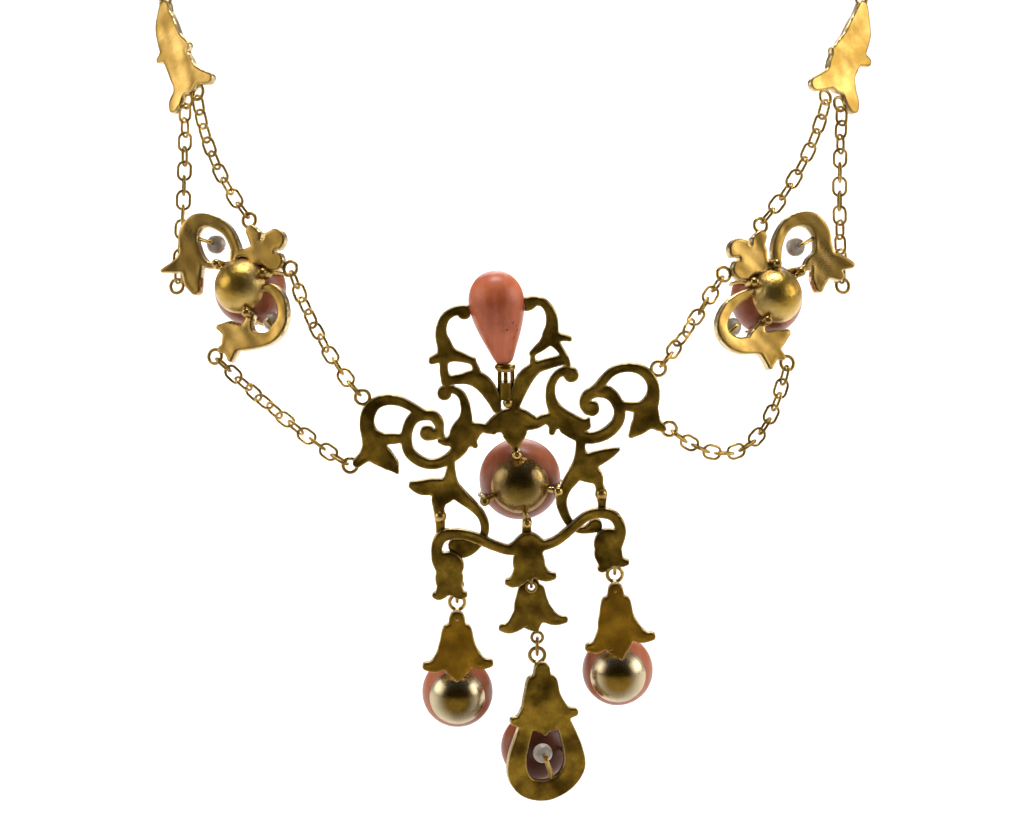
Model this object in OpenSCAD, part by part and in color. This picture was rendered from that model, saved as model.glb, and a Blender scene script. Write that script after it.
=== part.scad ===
// Festoon necklace of gold scroll plates, coral and pearls, hung as it is worn.
// +Z is up, the decorated side faces +Y and the flat backs face -Y.
// The origin is the middle of the neck loop.

/* [Neck loop] */
// Depth of the nape behind the origin
nape_y = 50; // [48:0.5:54]
// Height of the nape above the origin
nape_z = 42; // [40:0.5:44]

/* [Metal] */
// Thickness of the flat cast plates
plate_t = 1.2; // [1:0.1:1.4]
// Height of the raised relief on the decorated side
relief_t = 0.45; // [0.3:0.05:0.6]
// How far the relief's step stands in from the edge of a plate
relief_in = 0.4; // [0.3:0.05:0.5]

/* [Chain] */
// Length of one cable link
link_len = 2.8; // [2.7:0.05:2.9]
// Width of one cable link
link_wid = 2; // [1.9:0.05:2.1]
// Wire of the cable links
link_wire = 0.36; // [0.3:0.02:0.38]
// Distance from one link to the next in the neck chain
link_pitch = 1.95; // [1.92:0.01:1.96]
// Links in each half of the hidden neck chain
neck_links = 64; // [60:1:66]

/* [Stones] */
// Diameter of the coral bead in the centre
centre_coral_d = 10.3; // [10:0.1:10.4]
// Diameter of the coral beads in the side stations
side_coral_d = 9.2; // [9:0.1:9.3]
// Diameter of the coral beads in the drops
drop_coral_d = 9; // [8.8:0.1:9.1]
// Diameter of the pearls
pearl_d = 2.5; // [2.3:0.1:2.6]

/* [Drops] */
// How far in front of the flat back the side drops hang, which balances them
drop_hang_y = 3; // [2.9:0.05:3.1]
// How far in front of the flat back the middle drop hangs
mid_hang_y = 3.2; // [3.1:0.05:3.3]

/* [Hidden] */
$fn = 24;
gap = 0.1;
weld = 0.05;
stroke_steps = 2;
centre_coral_r = centre_coral_d/2;
side_coral_r = side_coral_d/2;
drop_coral_r = drop_coral_d/2;
pearl_r = pearl_d/2;

// Seats of the rigid pieces: place of the local origin, lean about x, turn about z
CENTRE = [[0, -60, -42], 0, 0];
STATION_L = [[-34.6, -49, -28.3], -18, -25];
STATION_R = [[33.7, -49, -29.5], -18, 25];
PLATE_L = [[-42.3, -39, -0.9], -20, -48];
PLATE_R = [[42.8, -39, -0.9], -20, 42];

// Local place of the drops' swing axes on the centre piece
left_pivot = [-6.95, drop_hang_y, -24.45];
right_pivot = [13, drop_hang_y, -20.8];
mid_pivot = [2.45, mid_hang_y, -22.4];
// Drop of the second swing axis below the first one, and its shift to the side
mid_drop_fall = 9;
mid_drop_side = 0.75;
mid_drop_pivot = mid_pivot + [mid_drop_side, 0, -mid_drop_fall];

// Jump rings of the drops: wire, and radius of the wire's middle line
jump_wire = 0.45;
jump_r = 1.05;
mid_jump_r = 1.2;
// Drop eyes: wire, and radius of the wire's middle line
eye_wire = 0.5;
eye_r = 0.95;
eye_fall = jump_r + 0.1;
// Small eyes on the decorated side that hold the jump rings
lug_wire = 0.4;
lug_r = 0.7;
lug_rise = jump_r + 0.1;
// Chain eyes: wire, and radius of the wire's middle line
ring_wire = 0.45;
ring_r = 0.9;
// First link's middle beyond the wire of the eye that it passes through
link_start = link_len/2 - link_wire - ring_wire/2 - 0.12;

// A vector leaned about x and then turned about z
function turned(p, lean, turn) =
  let (y = p.y*cos(lean) - p.z*sin(lean), z = p.y*sin(lean) + p.z*cos(lean))
  [p.x*cos(turn) - y*sin(turn), p.x*sin(turn) + y*cos(turn), z];
// World place of a local point on a seat
function at(seat, p) = seat[0] + turned(p, seat[1], seat[2]);
// World point where a chain that leaves along v crosses the wire of an eye at local point p
function eye_point(seat, p, v) =
  let (n = turned([0, 1, 0], seat[1], seat[2]), w = v - n*(n*v)) at(seat, p) + ring_r*w/norm(w);
// Smooth value between rows b and c at t, with their neighbours a and d
function between(a, b, c, d, t) =
  0.5*(2*b + (c - a)*t + (2*a - 5*b + 4*c - d)*t*t + (3*b - a - 3*c + d)*t*t*t);
// A table's rows with n smooth steps between each pair
function smooth(rows, n) = let (last = len(rows) - 1) [
  for (i = [0 : last - 1], j = [0 : n - 1])
    between(rows[max(i - 1, 0)], rows[i], rows[i + 1], rows[min(i + 2, last)], j/n),
  rows[last]
];

module on_seat(seat) {
  translate(seat[0]) rotate([seat[1], 0, seat[2]]) children();
}

// A flat bar along a smooth line; each row is x, z, width
module stroke(rows) {
  path = smooth(rows, stroke_steps);
  last = len(path) - 1;
  side = [for (i = [0 : last]) let (
    a = path[max(i - 1, 0)],
    b = path[min(i + 1, last)],
    d = [b.x - a.x, b.y - a.y]
  ) [-d.y, d.x]*path[i].z/2/norm(d)];
  mid = [for (p = path) [p.x, p.y]];
  for (i = [0 : last - 1])
    polygon([mid[i] + side[i], mid[i + 1] + side[i + 1], mid[i + 1] - side[i + 1], mid[i] - side[i]]);
  for (i = [0, last])
    translate(mid[i]) circle(d = path[i].z, $fn = 12);
}

// A bell flower from above its neck: waist width, lip tips and tongue tip as x, z
module bell(neck, waist, left, right, tongue) {
  stroke([[0, 0, neck], [0, -0.12*waist, waist*0.8], [0, 0.45*tongue.y, waist]]);
  for (lip = [left, right])
    stroke([[lip.x*0.15, 0.3*tongue.y, waist*0.5], [lip.x*0.36, lip.y*0.74, waist*0.56],
      [lip.x*0.7, lip.y*0.97, waist*0.36], [lip.x, lip.y*0.98, waist*0.22]]);
  stroke([[0, 0.45*tongue.y, waist], [tongue.x*0.3, 0.8*tongue.y, waist*0.76], [tongue.x, tongue.y, 0.6]]);
}

// Cuts or fills a flat outline into a plate with raised relief on its decorated side
module plate(back = 0, thick = plate_t) {
  rotate([90, 0, 0]) {
    translate([0, 0, -back - thick])
      linear_extrude(thick) offset(delta = -weld) offset(delta = weld) children();
    translate([0, 0, -back - thick - relief_t])
      linear_extrude(relief_t + 0.1) offset(delta = -relief_in) children();
  }
}

// A wire ring round the y axis; with across = true it goes round the x axis
module wire_ring(r, wire, across = false) {
  rotate(across ? [0, 90, 0] : [90, 0, 0])
    rotate_extrude() translate([r, 0]) circle(d = wire, $fn = 16);
}

// A round bar between two points
module bar(a, b, d) {
  v = b - a;
  translate(a) rotate([0, acos(v.z/norm(v)), atan2(v.y, v.x)]) cylinder(d = d, h = norm(v));
}

// A dome of the given rim radius that bulges behind its rim
module dome(rim_r, bulge) {
  dome_r = (rim_r*rim_r + bulge*bulge)/(2*bulge);
  difference() {
    translate([0, dome_r - bulge, 0]) sphere(dome_r, $fn = 48);
    translate([-20, 0, -20]) cube(40);
  }
}

// Metal hollowed for a bead that sits in it
module hollowed(bead_r, bead_y) {
  difference() {
    children();
    translate([0, bead_y, 0]) sphere(bead_r + gap, $fn = 48);
  }
}

// The domed pad of a claw at a cup's rim, with the arm that joins them
module claw_pad(angle, out, rim_y) {
  pad_d = 1.3;
  rotate([0, -angle, 0]) {
    translate([out, 0.9, 0]) rotate([90, 0, 0]) cylinder(d = pad_d, h = 1.5);
    translate([out, -0.6, 0]) sphere(d = pad_d);
    translate([out - 1.5, rim_y - 0.6, 0]) rotate([0, 90, 0]) cylinder(d = 0.8, h = 1.5);
  }
}

// The prong of a claw, bent round its bead
module claw_prong(angle, bead_r, bead_y) {
  prong = 0.55;
  rotate([0, -angle, 0]) translate([0, bead_y, 0]) rotate([0, 0, -50])
    rotate_extrude(angle = 65) translate([bead_r + gap + prong/2, 0]) circle(d = prong, $fn = 16);
}

// One cable link along x, lying in the xy plane
module cable_link() {
  r = link_wire/2;
  bend = (link_wid - link_wire)/2;
  half = (link_len - link_wid)/2;
  for (m = [0, 1]) {
    mirror([m, 0, 0]) translate([half, 0, 0]) rotate([0, 0, -90])
      rotate_extrude(angle = 180) translate([bend, 0]) circle(r, $fn = 16);
    mirror([0, m, 0]) translate([-half, bend, 0]) rotate([0, 90, 0]) cylinder(r = r, h = 2*half);
  }
}

// Points of a hanging chain from a to b that bows by a vector in its middle
function hung(a, b, bow) = [for (i = [0 : 40]) let (t = i/40) a + (b - a)*t + bow*4*t*(1 - t)];
// Distance along a line of points at each of its points
function run(points) = [for (i = 0, s = 0; i < len(points);
  s = s + (i + 1 < len(points) ? norm(points[i + 1] - points[i]) : 0), i = i + 1) s];
function length_of(points) = let (s = run(points)) s[len(s) - 1];
function point_at(points, s, want) = let (i = max([for (k = [0 : len(s) - 2]) if (s[k] <= want) k]))
  points[i] + (points[i + 1] - points[i])*(want - s[i])/(s[i + 1] - s[i]);

// Links along a line of points, evenly spread, with their width turned from side a to side b
module links_along(points, count, side_a, side_b) {
  s = run(points);
  pitch = (s[len(s) - 1] - 2*link_start)/(count - 1);
  half_turns = ceil((count - 1)/2);
  step = 180*half_turns/(count - 1);
  for (k = [0 : count - 1]) {
    here = point_at(points, s, link_start + k*pitch);
    ahead = point_at(points, s, link_start + k*pitch + 0.6);
    behind = point_at(points, s, link_start + k*pitch - 0.6);
    d = (ahead - behind)/norm(ahead - behind);
    side = side_a + (side_b - side_a)*k/(count - 1);
    across = side - d*(side*d);
    u = across/norm(across);
    w = cross(d, u);
    c = cos(k*step);
    z = sin(k*step);
    multmatrix([
      [d.x, u.x*c + w.x*z, w.x*c - u.x*z, here.x],
      [d.y, u.y*c + w.y*z, w.y*c - u.y*z, here.y],
      [d.z, u.z*c + w.z*z, w.z*c - u.z*z, here.z],
      [0, 0, 0, 1]
    ]) cable_link();
  }
}

/* The centre piece: one soldered frame. Rows are x, z, width. */
module centre_outline() {
  // Left crest hook with its knob, side lobe, lower branch and strut
  stroke([[-5.95, 12.3, 1.8], [-6.5, 12.5, 1.3], [-7.4, 12.3, 1.1], [-8.3, 11.6, 1.15], [-8.8, 10.4, 1.35],
    [-8.8, 9.2, 1.55], [-8.4, 8, 1.9], [-8.2, 7, 2.2]]);
  stroke([[-8, 7, 1.8], [-6.4, 6.6, 1.2], [-4.9, 6.1, 0.8]]);
  stroke([[-8.6, 6.7, 1.3], [-9.4, 6.4, 1.1], [-10, 6.15, 0.9]]);
  stroke([[-8.5, 6.3, 1.1], [-8.5, 4.8, 1.1], [-8.2, 3.5, 1.3]]);
  stroke([[-4.9, 6.1, 0.7], [-4.4, 4.9, 0.9]]);
  // Right crest hook
  stroke([[1.5, 13.2, 1.5], [2.1, 13.4, 1.7], [2.9, 13.7, 1.2], [3.7, 13.6, 1.1], [4.4, 13, 1.15],
    [4.9, 11.9, 1.4], [5, 10.6, 1.65], [4.8, 9.4, 1.9]]);
  stroke([[4.8, 9.4, 1.9], [4, 8.3, 1.3], [3, 7.45, 0.9], [2.45, 7.05, 0.6]]);
  stroke([[5.2, 9.1, 1.3], [6.3, 9.1, 0.9], [7.2, 8.9, 0.6]]);
  stroke([[5.2, 8.6, 1.3], [6, 7.6, 0.9], [6.6, 6.5, 0.9]]);
  stroke([[2.6, 7, 0.5], [2.6, 6, 0.8]]);
  // V of two leaves under the bud
  stroke([[0.3, 0.2, 1.2], [0.9, 2.4, 1.9], [1.7, 4, 2], [3, 5.2, 1.5], [4.6, 5.8, 1.35], [6.4, 6.2, 1.2],
    [7, 5.7, 0.7]]);
  stroke([[-1.9, 0.1, 1.2], [-2.4, 1.5, 1.8], [-3.4, 3, 2.1], [-4.7, 3.9, 2], [-6.2, 3.85, 1.3],
    [-8.1, 3.6, 1.1]]);
  // Left and right lower curls with round knobs
  stroke([[-8.45, 2, 1.8], [-7.9, 2.45, 1.1], [-7.1, 2.35, 0.9], [-6.3, 1.7, 1], [-5.9, 0.7, 1.2],
    [-5.75, -0.5, 1.4], [-5.9, -1.7, 1.9], [-6.6, -3.1, 2.4], [-7, -4.4, 1.6]]);
  stroke([[7.4, 4.35, 1.9], [6.6, 4.8, 1.2], [5.6, 4.3, 1], [4.95, 3.2, 1.1], [4.8, 2, 1.25], [5, 0.8, 1.5],
    [5.7, -0.5, 1.9], [6.9, -1.5, 2.2], [8.4, -2.1, 1.9], [9.3, -2.1, 1.2]]);
  // Wavy bar with its teeth and the tulip
  stroke([[-6, -3.4, 3], [-5, -2.9, 2.6], [-3.9, -2.45, 1.2], [-3, -2.5, 1.3], [-1.8, -1.9, 2.2],
    [-0.5, -1.4, 2.8], [0.8, -1.35, 2.8], [2, -1.65, 2.1], [3.1, -1.8, 1.4], [4.2, -1.3, 1.3],
    [5.4, -1.6, 1.9]]);
  stroke([[-5.4, -3.6, 1.6], [-4.6, -4.7, 0.7]]);
  stroke([[-2.6, -2.6, 1], [-2.3, -2.95, 0.6]]);
  stroke([[5.2, -2, 1.2], [5, -2.95, 0.8]]);
  stroke([[0.3, -1.4, 3], [0.3, -3, 3.2], [0.35, -4, 2.2], [0.4, -4.9, 0.9]]);
  // Left ring scroll with its inner curl and knob
  stroke([[-11.9, -0.8, 1.5], [-12.7, -1.7, 1.4], [-13.15, -3, 1.4], [-13.2, -4.3, 1.4], [-12.8, -5.6, 1.4],
    [-11.7, -6.6, 1.35], [-10.2, -7.1, 1.25], [-8.7, -6.8, 1.3], [-7.4, -6, 1.5], [-6.6, -5, 2],
    [-6.2, -4, 2.2]]);
  stroke([[-12, -0.9, 1.3], [-11, -0.8, 1.3], [-9.9, -0.9, 1.3], [-9.2, -1.7, 1.3], [-9.1, -2.7, 1.1],
    [-9.7, -3.3, 1.2], [-10.6, -3.1, 1.9]]);
  stroke([[-7.4, -4, 1.4], [-8.4, -4.3, 0.8], [-9.1, -4.1, 0.5]]);
  stroke([[-9, -3, 0.9], [-8.6, -3.8, 0.6]]);
  // Right ring scroll
  stroke([[11.9, 2.2, 1.5], [12.7, 1.5, 1.5], [13.3, 0.4, 1.45], [13.45, -0.8, 1.5], [13, -2, 1.5],
    [12, -3, 1.5], [10.7, -3.6, 1.45], [9.4, -3.7, 1.45], [8, -3.2, 1.6], [6.8, -2.4, 1.8]]);
  stroke([[12.2, 1.9, 1.2], [11.3, 2.1, 1.3], [10.2, 2.1, 1.4], [9.3, 1.5, 1.4], [9, 0.6, 1.2],
    [9.4, -0.1, 1.2], [10, 0.05, 1.9]]);
  stroke([[9.1, -1.9, 1], [9.6, -1.4, 0.5]]);
  // Left wing flower: loop, bell and its tips
  stroke([[-11.3, -0.6, 1.1], [-12.5, 0.2, 1.1], [-14, 0.95, 1.2], [-15.6, 1.15, 1.35], [-17, 0.7, 1.5],
    [-17.9, -0.4, 1.8], [-18.15, -1.9, 1.9], [-17.8, -3.3, 2.2], [-17.2, -4.3, 3]]);
  stroke([[-17.4, -4.2, 2.4], [-16, -3.9, 1.5], [-14.6, -3.8, 1.3], [-13.8, -3.8, 1]]);
  stroke([[-17.2, -4.4, 2.8], [-17, -5.4, 3], [-15.9, -6.4, 2.4], [-15, -7.2, 1.8], [-14.4, -8.1, 0.5]]);
  stroke([[-17.6, -5.2, 2.4], [-18.6, -6.2, 1.5], [-19.4, -6.9, 1.2]]);
  // Right wing flower
  stroke([[10.5, 2.4, 1.2], [11.4, 3.6, 1.15], [12.5, 4.7, 1.1], [14, 5.25, 1.1], [15.6, 5.15, 1.2],
    [16.9, 4.4, 1.4], [17.6, 3.1, 1.5], [17.6, 1.6, 1.8], [17.1, 0.2, 2.4], [16.8, -1, 3.1]]);
  stroke([[17, 0.2, 1.6], [15.4, 0.2, 1.3], [14, 0.4, 1]]);
  stroke([[16.8, -0.6, 3], [16.4, -1.6, 2.6], [15.6, -2.6, 1.9], [14.9, -3.4, 0.7]]);
  stroke([[17.2, -0.8, 2.2], [18, -1.9, 1.5], [18.9, -2.5, 0.9]]);
  // Left leaf wing with its legs
  stroke([[-7.6, -7, 0.9], [-7.7, -8.2, 1.3], [-7.8, -9.6, 2], [-8.2, -10.6, 2.6], [-9, -11.4, 2.2],
    [-9.2, -12.6, 1.5], [-9.05, -13.8, 1.35], [-9, -15, 1.2], [-9, -15.6, 1.2]]);
  stroke([[-8.4, -10, 2], [-10, -10, 2.1], [-11.4, -10.1, 1.8], [-12.5, -9.8, 1]]);
  stroke([[-7.8, -9.8, 2], [-6.4, -11.2, 1.7], [-5, -12.4, 1.3], [-3.9, -13.6, 1.1], [-3.4, -15, 1.1],
    [-3.6, -16.4, 1], [-4.3, -17.5, 0.9], [-5.3, -18.2, 1.2], [-6.4, -18.5, 1.3], [-7.2, -17.6, 1.7]]);
  stroke([[-6.9, -17.5, 1.8], [-5.4, -17.4, 1.4]]);
  // Right leaf wing with its legs
  stroke([[8.6, -4.1, 1.2], [8.6, -5.6, 1.4], [8.9, -7, 2.4], [9.4, -7.9, 2.9], [10.6, -8.8, 1.7],
    [10.95, -9.8, 1.1], [11.2, -10.9, 1.4], [11.3, -12, 1.1], [11.3, -13, 1]]);
  stroke([[9.2, -7, 2.2], [10.8, -6.3, 1.9], [12.2, -5.7, 1.3], [13.3, -5.2, 0.5]]);
  stroke([[8.7, -7.2, 2.2], [7.6, -8.8, 1.8], [6.7, -10.2, 1.4], [6.2, -11.7, 1.4], [6.5, -13.2, 1.2],
    [7.2, -14.6, 1], [8.3, -15.5, 0.8], [9.4, -15.5, 1], [10.5, -15, 1.7]]);
  // Stem between the centre's lowest claw and the yoke
  stroke([[1.85, -14.75, 1.2], [1.85, -15.6, 1.2], [1.9, -17, 1.6]]);
}

module yoke_outline() {
  stroke([[-7.2, -19.9, 2.2], [-8.9, -19.6, 2], [-9.45, -18.3, 1.45], [-9.3, -17, 1.45], [-8.6, -16.1, 1.5],
    [-7.2, -15.85, 1.3], [-5.6, -16.05, 1.2], [-4, -16.6, 1.3], [-2.2, -17.4, 1.2], [-0.4, -17.9, 1.3],
    [1.2, -17.4, 2], [2.6, -17.3, 2], [4.1, -17.3, 1.3], [5.5, -16.8, 1.2], [6.8, -15.8, 1.2],
    [8, -14.7, 1.2], [9.4, -13.6, 1.2], [11, -13.15, 1.3], [12.6, -13.5, 1.3], [13.5, -14.7, 1.4],
    [13.5, -16.2, 1.5], [12.6, -17.2, 1.8], [11, -17.3, 1.3]]);
  // Left, right and central bell flowers
  translate([-7.9, -20]) bell(3.6, 3.4, [-1.8, -3.9], [1.95, -3.8], [0.7, -3.5]);
  translate([12.1, -17]) bell(3.6, 3.4, [2.3, -2.6], [-1, -3.4], [0.2, -3]);
  translate([2.1, -17.6]) bell(3.8, 3.9, [-2.6, -4.6], [3.1, -3.8], [0.2, -4.1]);
}

// A chain eye soldered to a plate's edge
module chain_eye(p) {
  translate(p) wire_ring(ring_r, ring_wire);
}

// A small eye on the decorated side with the post that carries it
module lug(pivot, foot_z) {
  translate(pivot + [0, 0, lug_rise]) wire_ring(lug_r, lug_wire);
  bar([pivot.x, 0.1, foot_z], [pivot.x, pivot.y, pivot.z + lug_rise + lug_r], 0.6);
}

module centre_frame() {
  bead_y = 0.6 + sqrt(centre_coral_r*centre_coral_r - 3.6*3.6);
  // Claws as angle, distance from the cup's middle
  claws = [[95, 4.2], [202, 4.75], [-6, 4.8], [-79, 4.7]];
  color("goldenrod") on_seat(CENTRE) {
    difference() {
      plate() centre_outline();
      bud(gap);
    }
    plate(-0.9, 1.25) yoke_outline();
    translate([1, 0, -9.85]) {
      hollowed(centre_coral_r, bead_y) {
        translate([0, 0.6, 0]) dome(3.6, 2);
        for (c = claws)
          claw_pad(c[0], c[1], 0.6);
      }
      for (c = claws)
        claw_prong(c[0], centre_coral_r, bead_y);
    }
    // Polished balls on the leaf wings' legs
    for (p = [[-9, -13.8], [11.2, -10.9]])
      translate([p.x, 0.3, p.y]) sphere(d = 1.6);
    // Crest bud's post, ball and seat
    translate([-0.8, 0.7, 0]) {
      for (x = [-0.75, 0, 0.85])
        translate([x, 0, 1]) cylinder(d = 0.55, h = 4.2);
      translate([0.3, -0.5, 0.8]) sphere(d = 1.3);
      translate([0, 0, 1.2]) cylinder(d = 1.9, h = 2.2);
      translate([-0.05, 0, 4.8]) cylinder(d1 = 2.1, d2 = 2.7, h = 0.5);
      translate([-0.05, 0, 5.3]) cylinder(d = 2.5, h = 0.35);
    }
    // Eyes for the festoon chains
    for (p = [[-18.7, 1.45], [-20.3, -7.3], [18.3, 5.1], [19.7, -2.6]])
      chain_eye([p.x, 0.6, p.y]);
    lug(left_pivot, -22.5);
    lug(right_pivot, -18.6);
    lug(mid_pivot, -20);
  }
}

module centre_coral() {
  bead_y = 0.6 + sqrt(centre_coral_r*centre_coral_r - 3.6*3.6);
  color("salmon") on_seat(CENTRE) translate([1, bead_y, -9.85]) sphere(centre_coral_r, $fn = 48);
}

// The bud, thicker all round by extra
module bud(extra) {
  // Rows are height up the bud, radius
  rows = [[0, 0.8], [0.4, 1.15], [2, 1.85], [4, 2.65], [6, 3.25], [8, 3.5], [9.6, 3.15], [10.8, 2.35],
    [11.5, 1.3], [11.8, 0.3]];
  path = smooth(rows, 2);
  translate([-0.95, 0.9, 5.75]) rotate([0, -7.3, 0])
    rotate_extrude($fn = 48) polygon(concat([[0, 0]], [for (p = path) [p.y + extra, p.x]], [[0, 11.8]]));
}
module crest_coral() {
  color("salmon") on_seat(CENTRE) bud(0);
}

/* Side stations, in the frame of the left one. Rows are x, z, width. */
module station_left_outline() {
  // Upper outer flower: loop, bell and petals, with the bridge to the cup
  stroke([[-1.35, 3.3, 1], [-1.2, 4.4, 1.3], [-1.75, 5.6, 1.3], [-2.7, 6.8, 1.4], [-4.1, 7.6, 1.6],
    [-5.7, 7.95, 1.7], [-7.2, 7.5, 2.2], [-8, 6.2, 2.6], [-7.9, 4.8, 2.7], [-7.5, 3.6, 3],
    [-7.4, 2.6, 3.6]]);
  stroke([[-7, 3.4, 1.8], [-5.9, 2.9, 1.1], [-4.9, 2.3, 0.9], [-3.4, 2.3, 0.8], [-2, 2.6, 0.8]]);
  stroke([[-7.8, 2.5, 2.6], [-9.3, 1.7, 1.6], [-11, 1, 0.5]]);
  stroke([[-7, 1.8, 2.8], [-6.7, 0.2, 2.4], [-6.1, -1, 1.4]]);
  // Clover with its bridge
  difference() {
    union() {
      stroke([[0.7, 7.1, 1.5], [1.7, 6, 2.2], [2.8, 5, 3.4]]);
      stroke([[3, 5, 3.6], [4.3, 6.2, 2.8]]);
      stroke([[3, 4.8, 3.6], [4.5, 3.5, 2.6]]);
      stroke([[1, 4.3, 1.6], [2, 4, 2.4]]);
      stroke([[-1.3, 4.1, 1], [0.4, 4.3, 1]]);
    }
    stroke([[2.45, 8, 0.35], [2.4, 6.3, 0.35]]);
    stroke([[6.4, 5, 0.4], [4.6, 4.75, 0.4]]);
  }
  // Lower scroll, its leaf and tips
  stroke([[3.2, 0, 0.8], [4.6, 0, 1.3], [5.8, -0.9, 1.5], [6.6, -2.3, 1.5], [6.8, -3.8, 1.6],
    [6.3, -5.2, 1.9], [5.3, -6.3, 1.7], [3.8, -6.7, 2], [2.2, -6.7, 2.8], [0.6, -6.4, 3.6],
    [-0.6, -5.7, 2.4], [-2, -5.5, 0.8]]);
  stroke([[0.2, -6.8, 3], [0.2, -8.2, 2.2], [0.35, -9.4, 0.8]]);
  stroke([[0.2, -6.6, 2.4], [-0.6, -7.9, 1.4], [-1.2, -8.3, 0.9]]);
  stroke([[1.8, -5.8, 2.2], [2, -4.6, 1.2], [2.2, -3.6, 1]]);
}

module station_right_outline() {
  stroke([[0.5, 3.3, 1], [0.6, 4.8, 1.3], [0.85, 6.2, 1.4], [1.6, 7.7, 1.4], [2.8, 8.9, 1.5],
    [4.6, 9.4, 1.8], [6.3, 8.9, 2.2], [7.2, 7.5, 2.3], [7.3, 6, 2.4], [7.3, 4.6, 2.8],
    [7.2, 3.4, 3.6]]);
  stroke([[6.6, 4.4, 1.8], [5.4, 4, 1.2], [4.6, 3.2, 0.9], [3.6, 3, 0.8], [2.2, 2.9, 0.8]]);
  stroke([[7.8, 3.6, 2.8], [9.4, 3.4, 2], [10.8, 3, 1]]);
  stroke([[6.7, 2.8, 2.8], [6.2, 1.4, 2.2], [6, 0.4, 1.2]]);
  stroke([[8, 2.6, 2.2], [9, 1.8, 1.4]]);
  difference() {
    union() {
      stroke([[-1.3, 7.6, 1.6], [-2.2, 6.4, 2.4], [-3, 5.2, 3.6]]);
      stroke([[-3.2, 5.2, 3.6], [-4.7, 6.1, 3]]);
      stroke([[-3.2, 4.8, 3.6], [-4.6, 3.6, 2.8]]);
      stroke([[-1.6, 5.8, 1.8], [-2, 4.2, 2.6]]);
      stroke([[0.4, 3.9, 0.9], [-1.2, 4, 1.1]]);
    }
    stroke([[-2.8, 8.4, 0.35], [-2.95, 6.8, 0.35]]);
    stroke([[-6.8, 5, 0.4], [-5, 5, 0.4]]);
  }
  stroke([[-3.2, 0.8, 0.9], [-4.6, 0.4, 1.2], [-6.2, -0.3, 1.4], [-7.6, -1.4, 1.5], [-8.5, -2.9, 1.6],
    [-8.5, -4.3, 1.7], [-7.6, -5.4, 1.9], [-6.3, -6, 2.1], [-4.4, -6, 2.4], [-2.6, -6, 3],
    [-1, -5.6, 2.4], [0.6, -4.9, 1]]);
  stroke([[-2.4, -6.2, 3], [-2.4, -7.8, 2.2], [-2.6, -9, 0.8]]);
  stroke([[-2, -6.4, 2.4], [-1.2, -7.4, 1.6], [-0.6, -7.9, 0.9]]);
  stroke([[-3.8, -5.2, 2.2], [-3, -3.8, 1.2], [-2.4, -3, 1]]);
}

// Peg that carries a pearl: a wire from the plate that ends in a hook before the pearl
module pearl_peg(foot, pearl) {
  bar([foot.x, 0.4, foot.y], [(foot.x + pearl.x)/2, 0.1, (foot.y + pearl.z)/2], 0.6);
  bar([(foot.x + pearl.x)/2, 0.1, (foot.y + pearl.z)/2], [pearl.x, 0, pearl.z], 0.55);
  translate([pearl.x, 0, pearl.z]) rotate([-90, 0, 0]) cylinder(d = 0.5, h = 1.2 + pearl_r);
}

// Depth of the outer chain's eye on a station, in front of the flat back
outer_eye_y = 3.3;
// Gold of a station: outline as child, with the cup, its claws and the chain eyes
module station_gold(claws, eyes, outer_eye, post, upper, lower) {
  bead_y = 0.3 + sqrt(side_coral_r*side_coral_r - 3.5*3.5);
  hollowed(side_coral_r, bead_y) {
    plate() children();
    translate([0, 0.3, 0]) dome(3.5, 2.8);
    for (c = claws)
      claw_pad(c[0], c[1], 0.3);
  }
  for (c = claws)
    claw_prong(c[0], side_coral_r, bead_y);
  for (p = eyes)
    chain_eye([p.x, 0.6, p.y]);
  chain_eye([outer_eye.x, outer_eye_y, outer_eye.y]);
  bar([post[0].x, 0.5, post[0].y], [post[1].x, outer_eye_y, post[1].y], 0.7);
  pearl_peg(upper[0], upper[1]);
  pearl_peg(lower[0], lower[1]);
}

module pearl(seat, p) {
  color("lavender") on_seat(seat) difference() {
    translate(p) sphere(pearl_r, $fn = 48);
    translate([p.x, p.y - 2*pearl_r, p.z]) rotate([-90, 0, 0]) cylinder(d = 0.5 + 2*gap, h = 4*pearl_r);
  }
}
module side_coral(seat) {
  bead_y = 0.3 + sqrt(side_coral_r*side_coral_r - 3.5*3.5);
  color("salmon") on_seat(seat) translate([0, bead_y, 0]) sphere(side_coral_r, $fn = 48);
}

// Pearls as foot of the peg x, z and then the pearl's middle
left_upper = [[-6.9, 5.6], [-4.9, 1.7, 5.2]];
left_lower = [[5.9, -5.2], [4.6, 1.7, -4]];
right_upper = [[6.6, 7], [4.3, 1.7, 6.1]];
right_lower = [[-8, -4.6], [-6.3, 1.7, -3.4]];

module station_left() {
  color("goldenrod") on_seat(STATION_L)
    station_gold([[143, 4.1], [28, 3.9], [-60, 3.9]], [[-0.1, 8.5], [6.65, 2.8], [-2.3, -9.2]],
      [-10.6, -0.4], [[-8.4, 1.3], [-9.9, 0.2]], left_upper, left_lower) station_left_outline();
}
module station_right() {
  color("goldenrod") on_seat(STATION_R)
    station_gold([[38, 4.3], [88, 3.9], [152, 3.9], [-126, 3.9]], [[-0.8, 9.1], [-6.95, 3.3], [0.3, -8.7]],
      [11.2, 0.8], [[8.8, 2.2], [10.4, 1.4]], right_upper, right_lower) station_right_outline();
}
module station_left_coral() {
  side_coral(STATION_L);
}
module station_right_coral() {
  side_coral(STATION_R);
}
module station_left_upper_pearl() {
  pearl(STATION_L, left_upper[1]);
}
module station_left_lower_pearl() {
  pearl(STATION_L, left_lower[1]);
}
module station_right_upper_pearl() {
  pearl(STATION_R, right_upper[1]);
}
module station_right_lower_pearl() {
  pearl(STATION_R, right_lower[1]);
}

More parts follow.
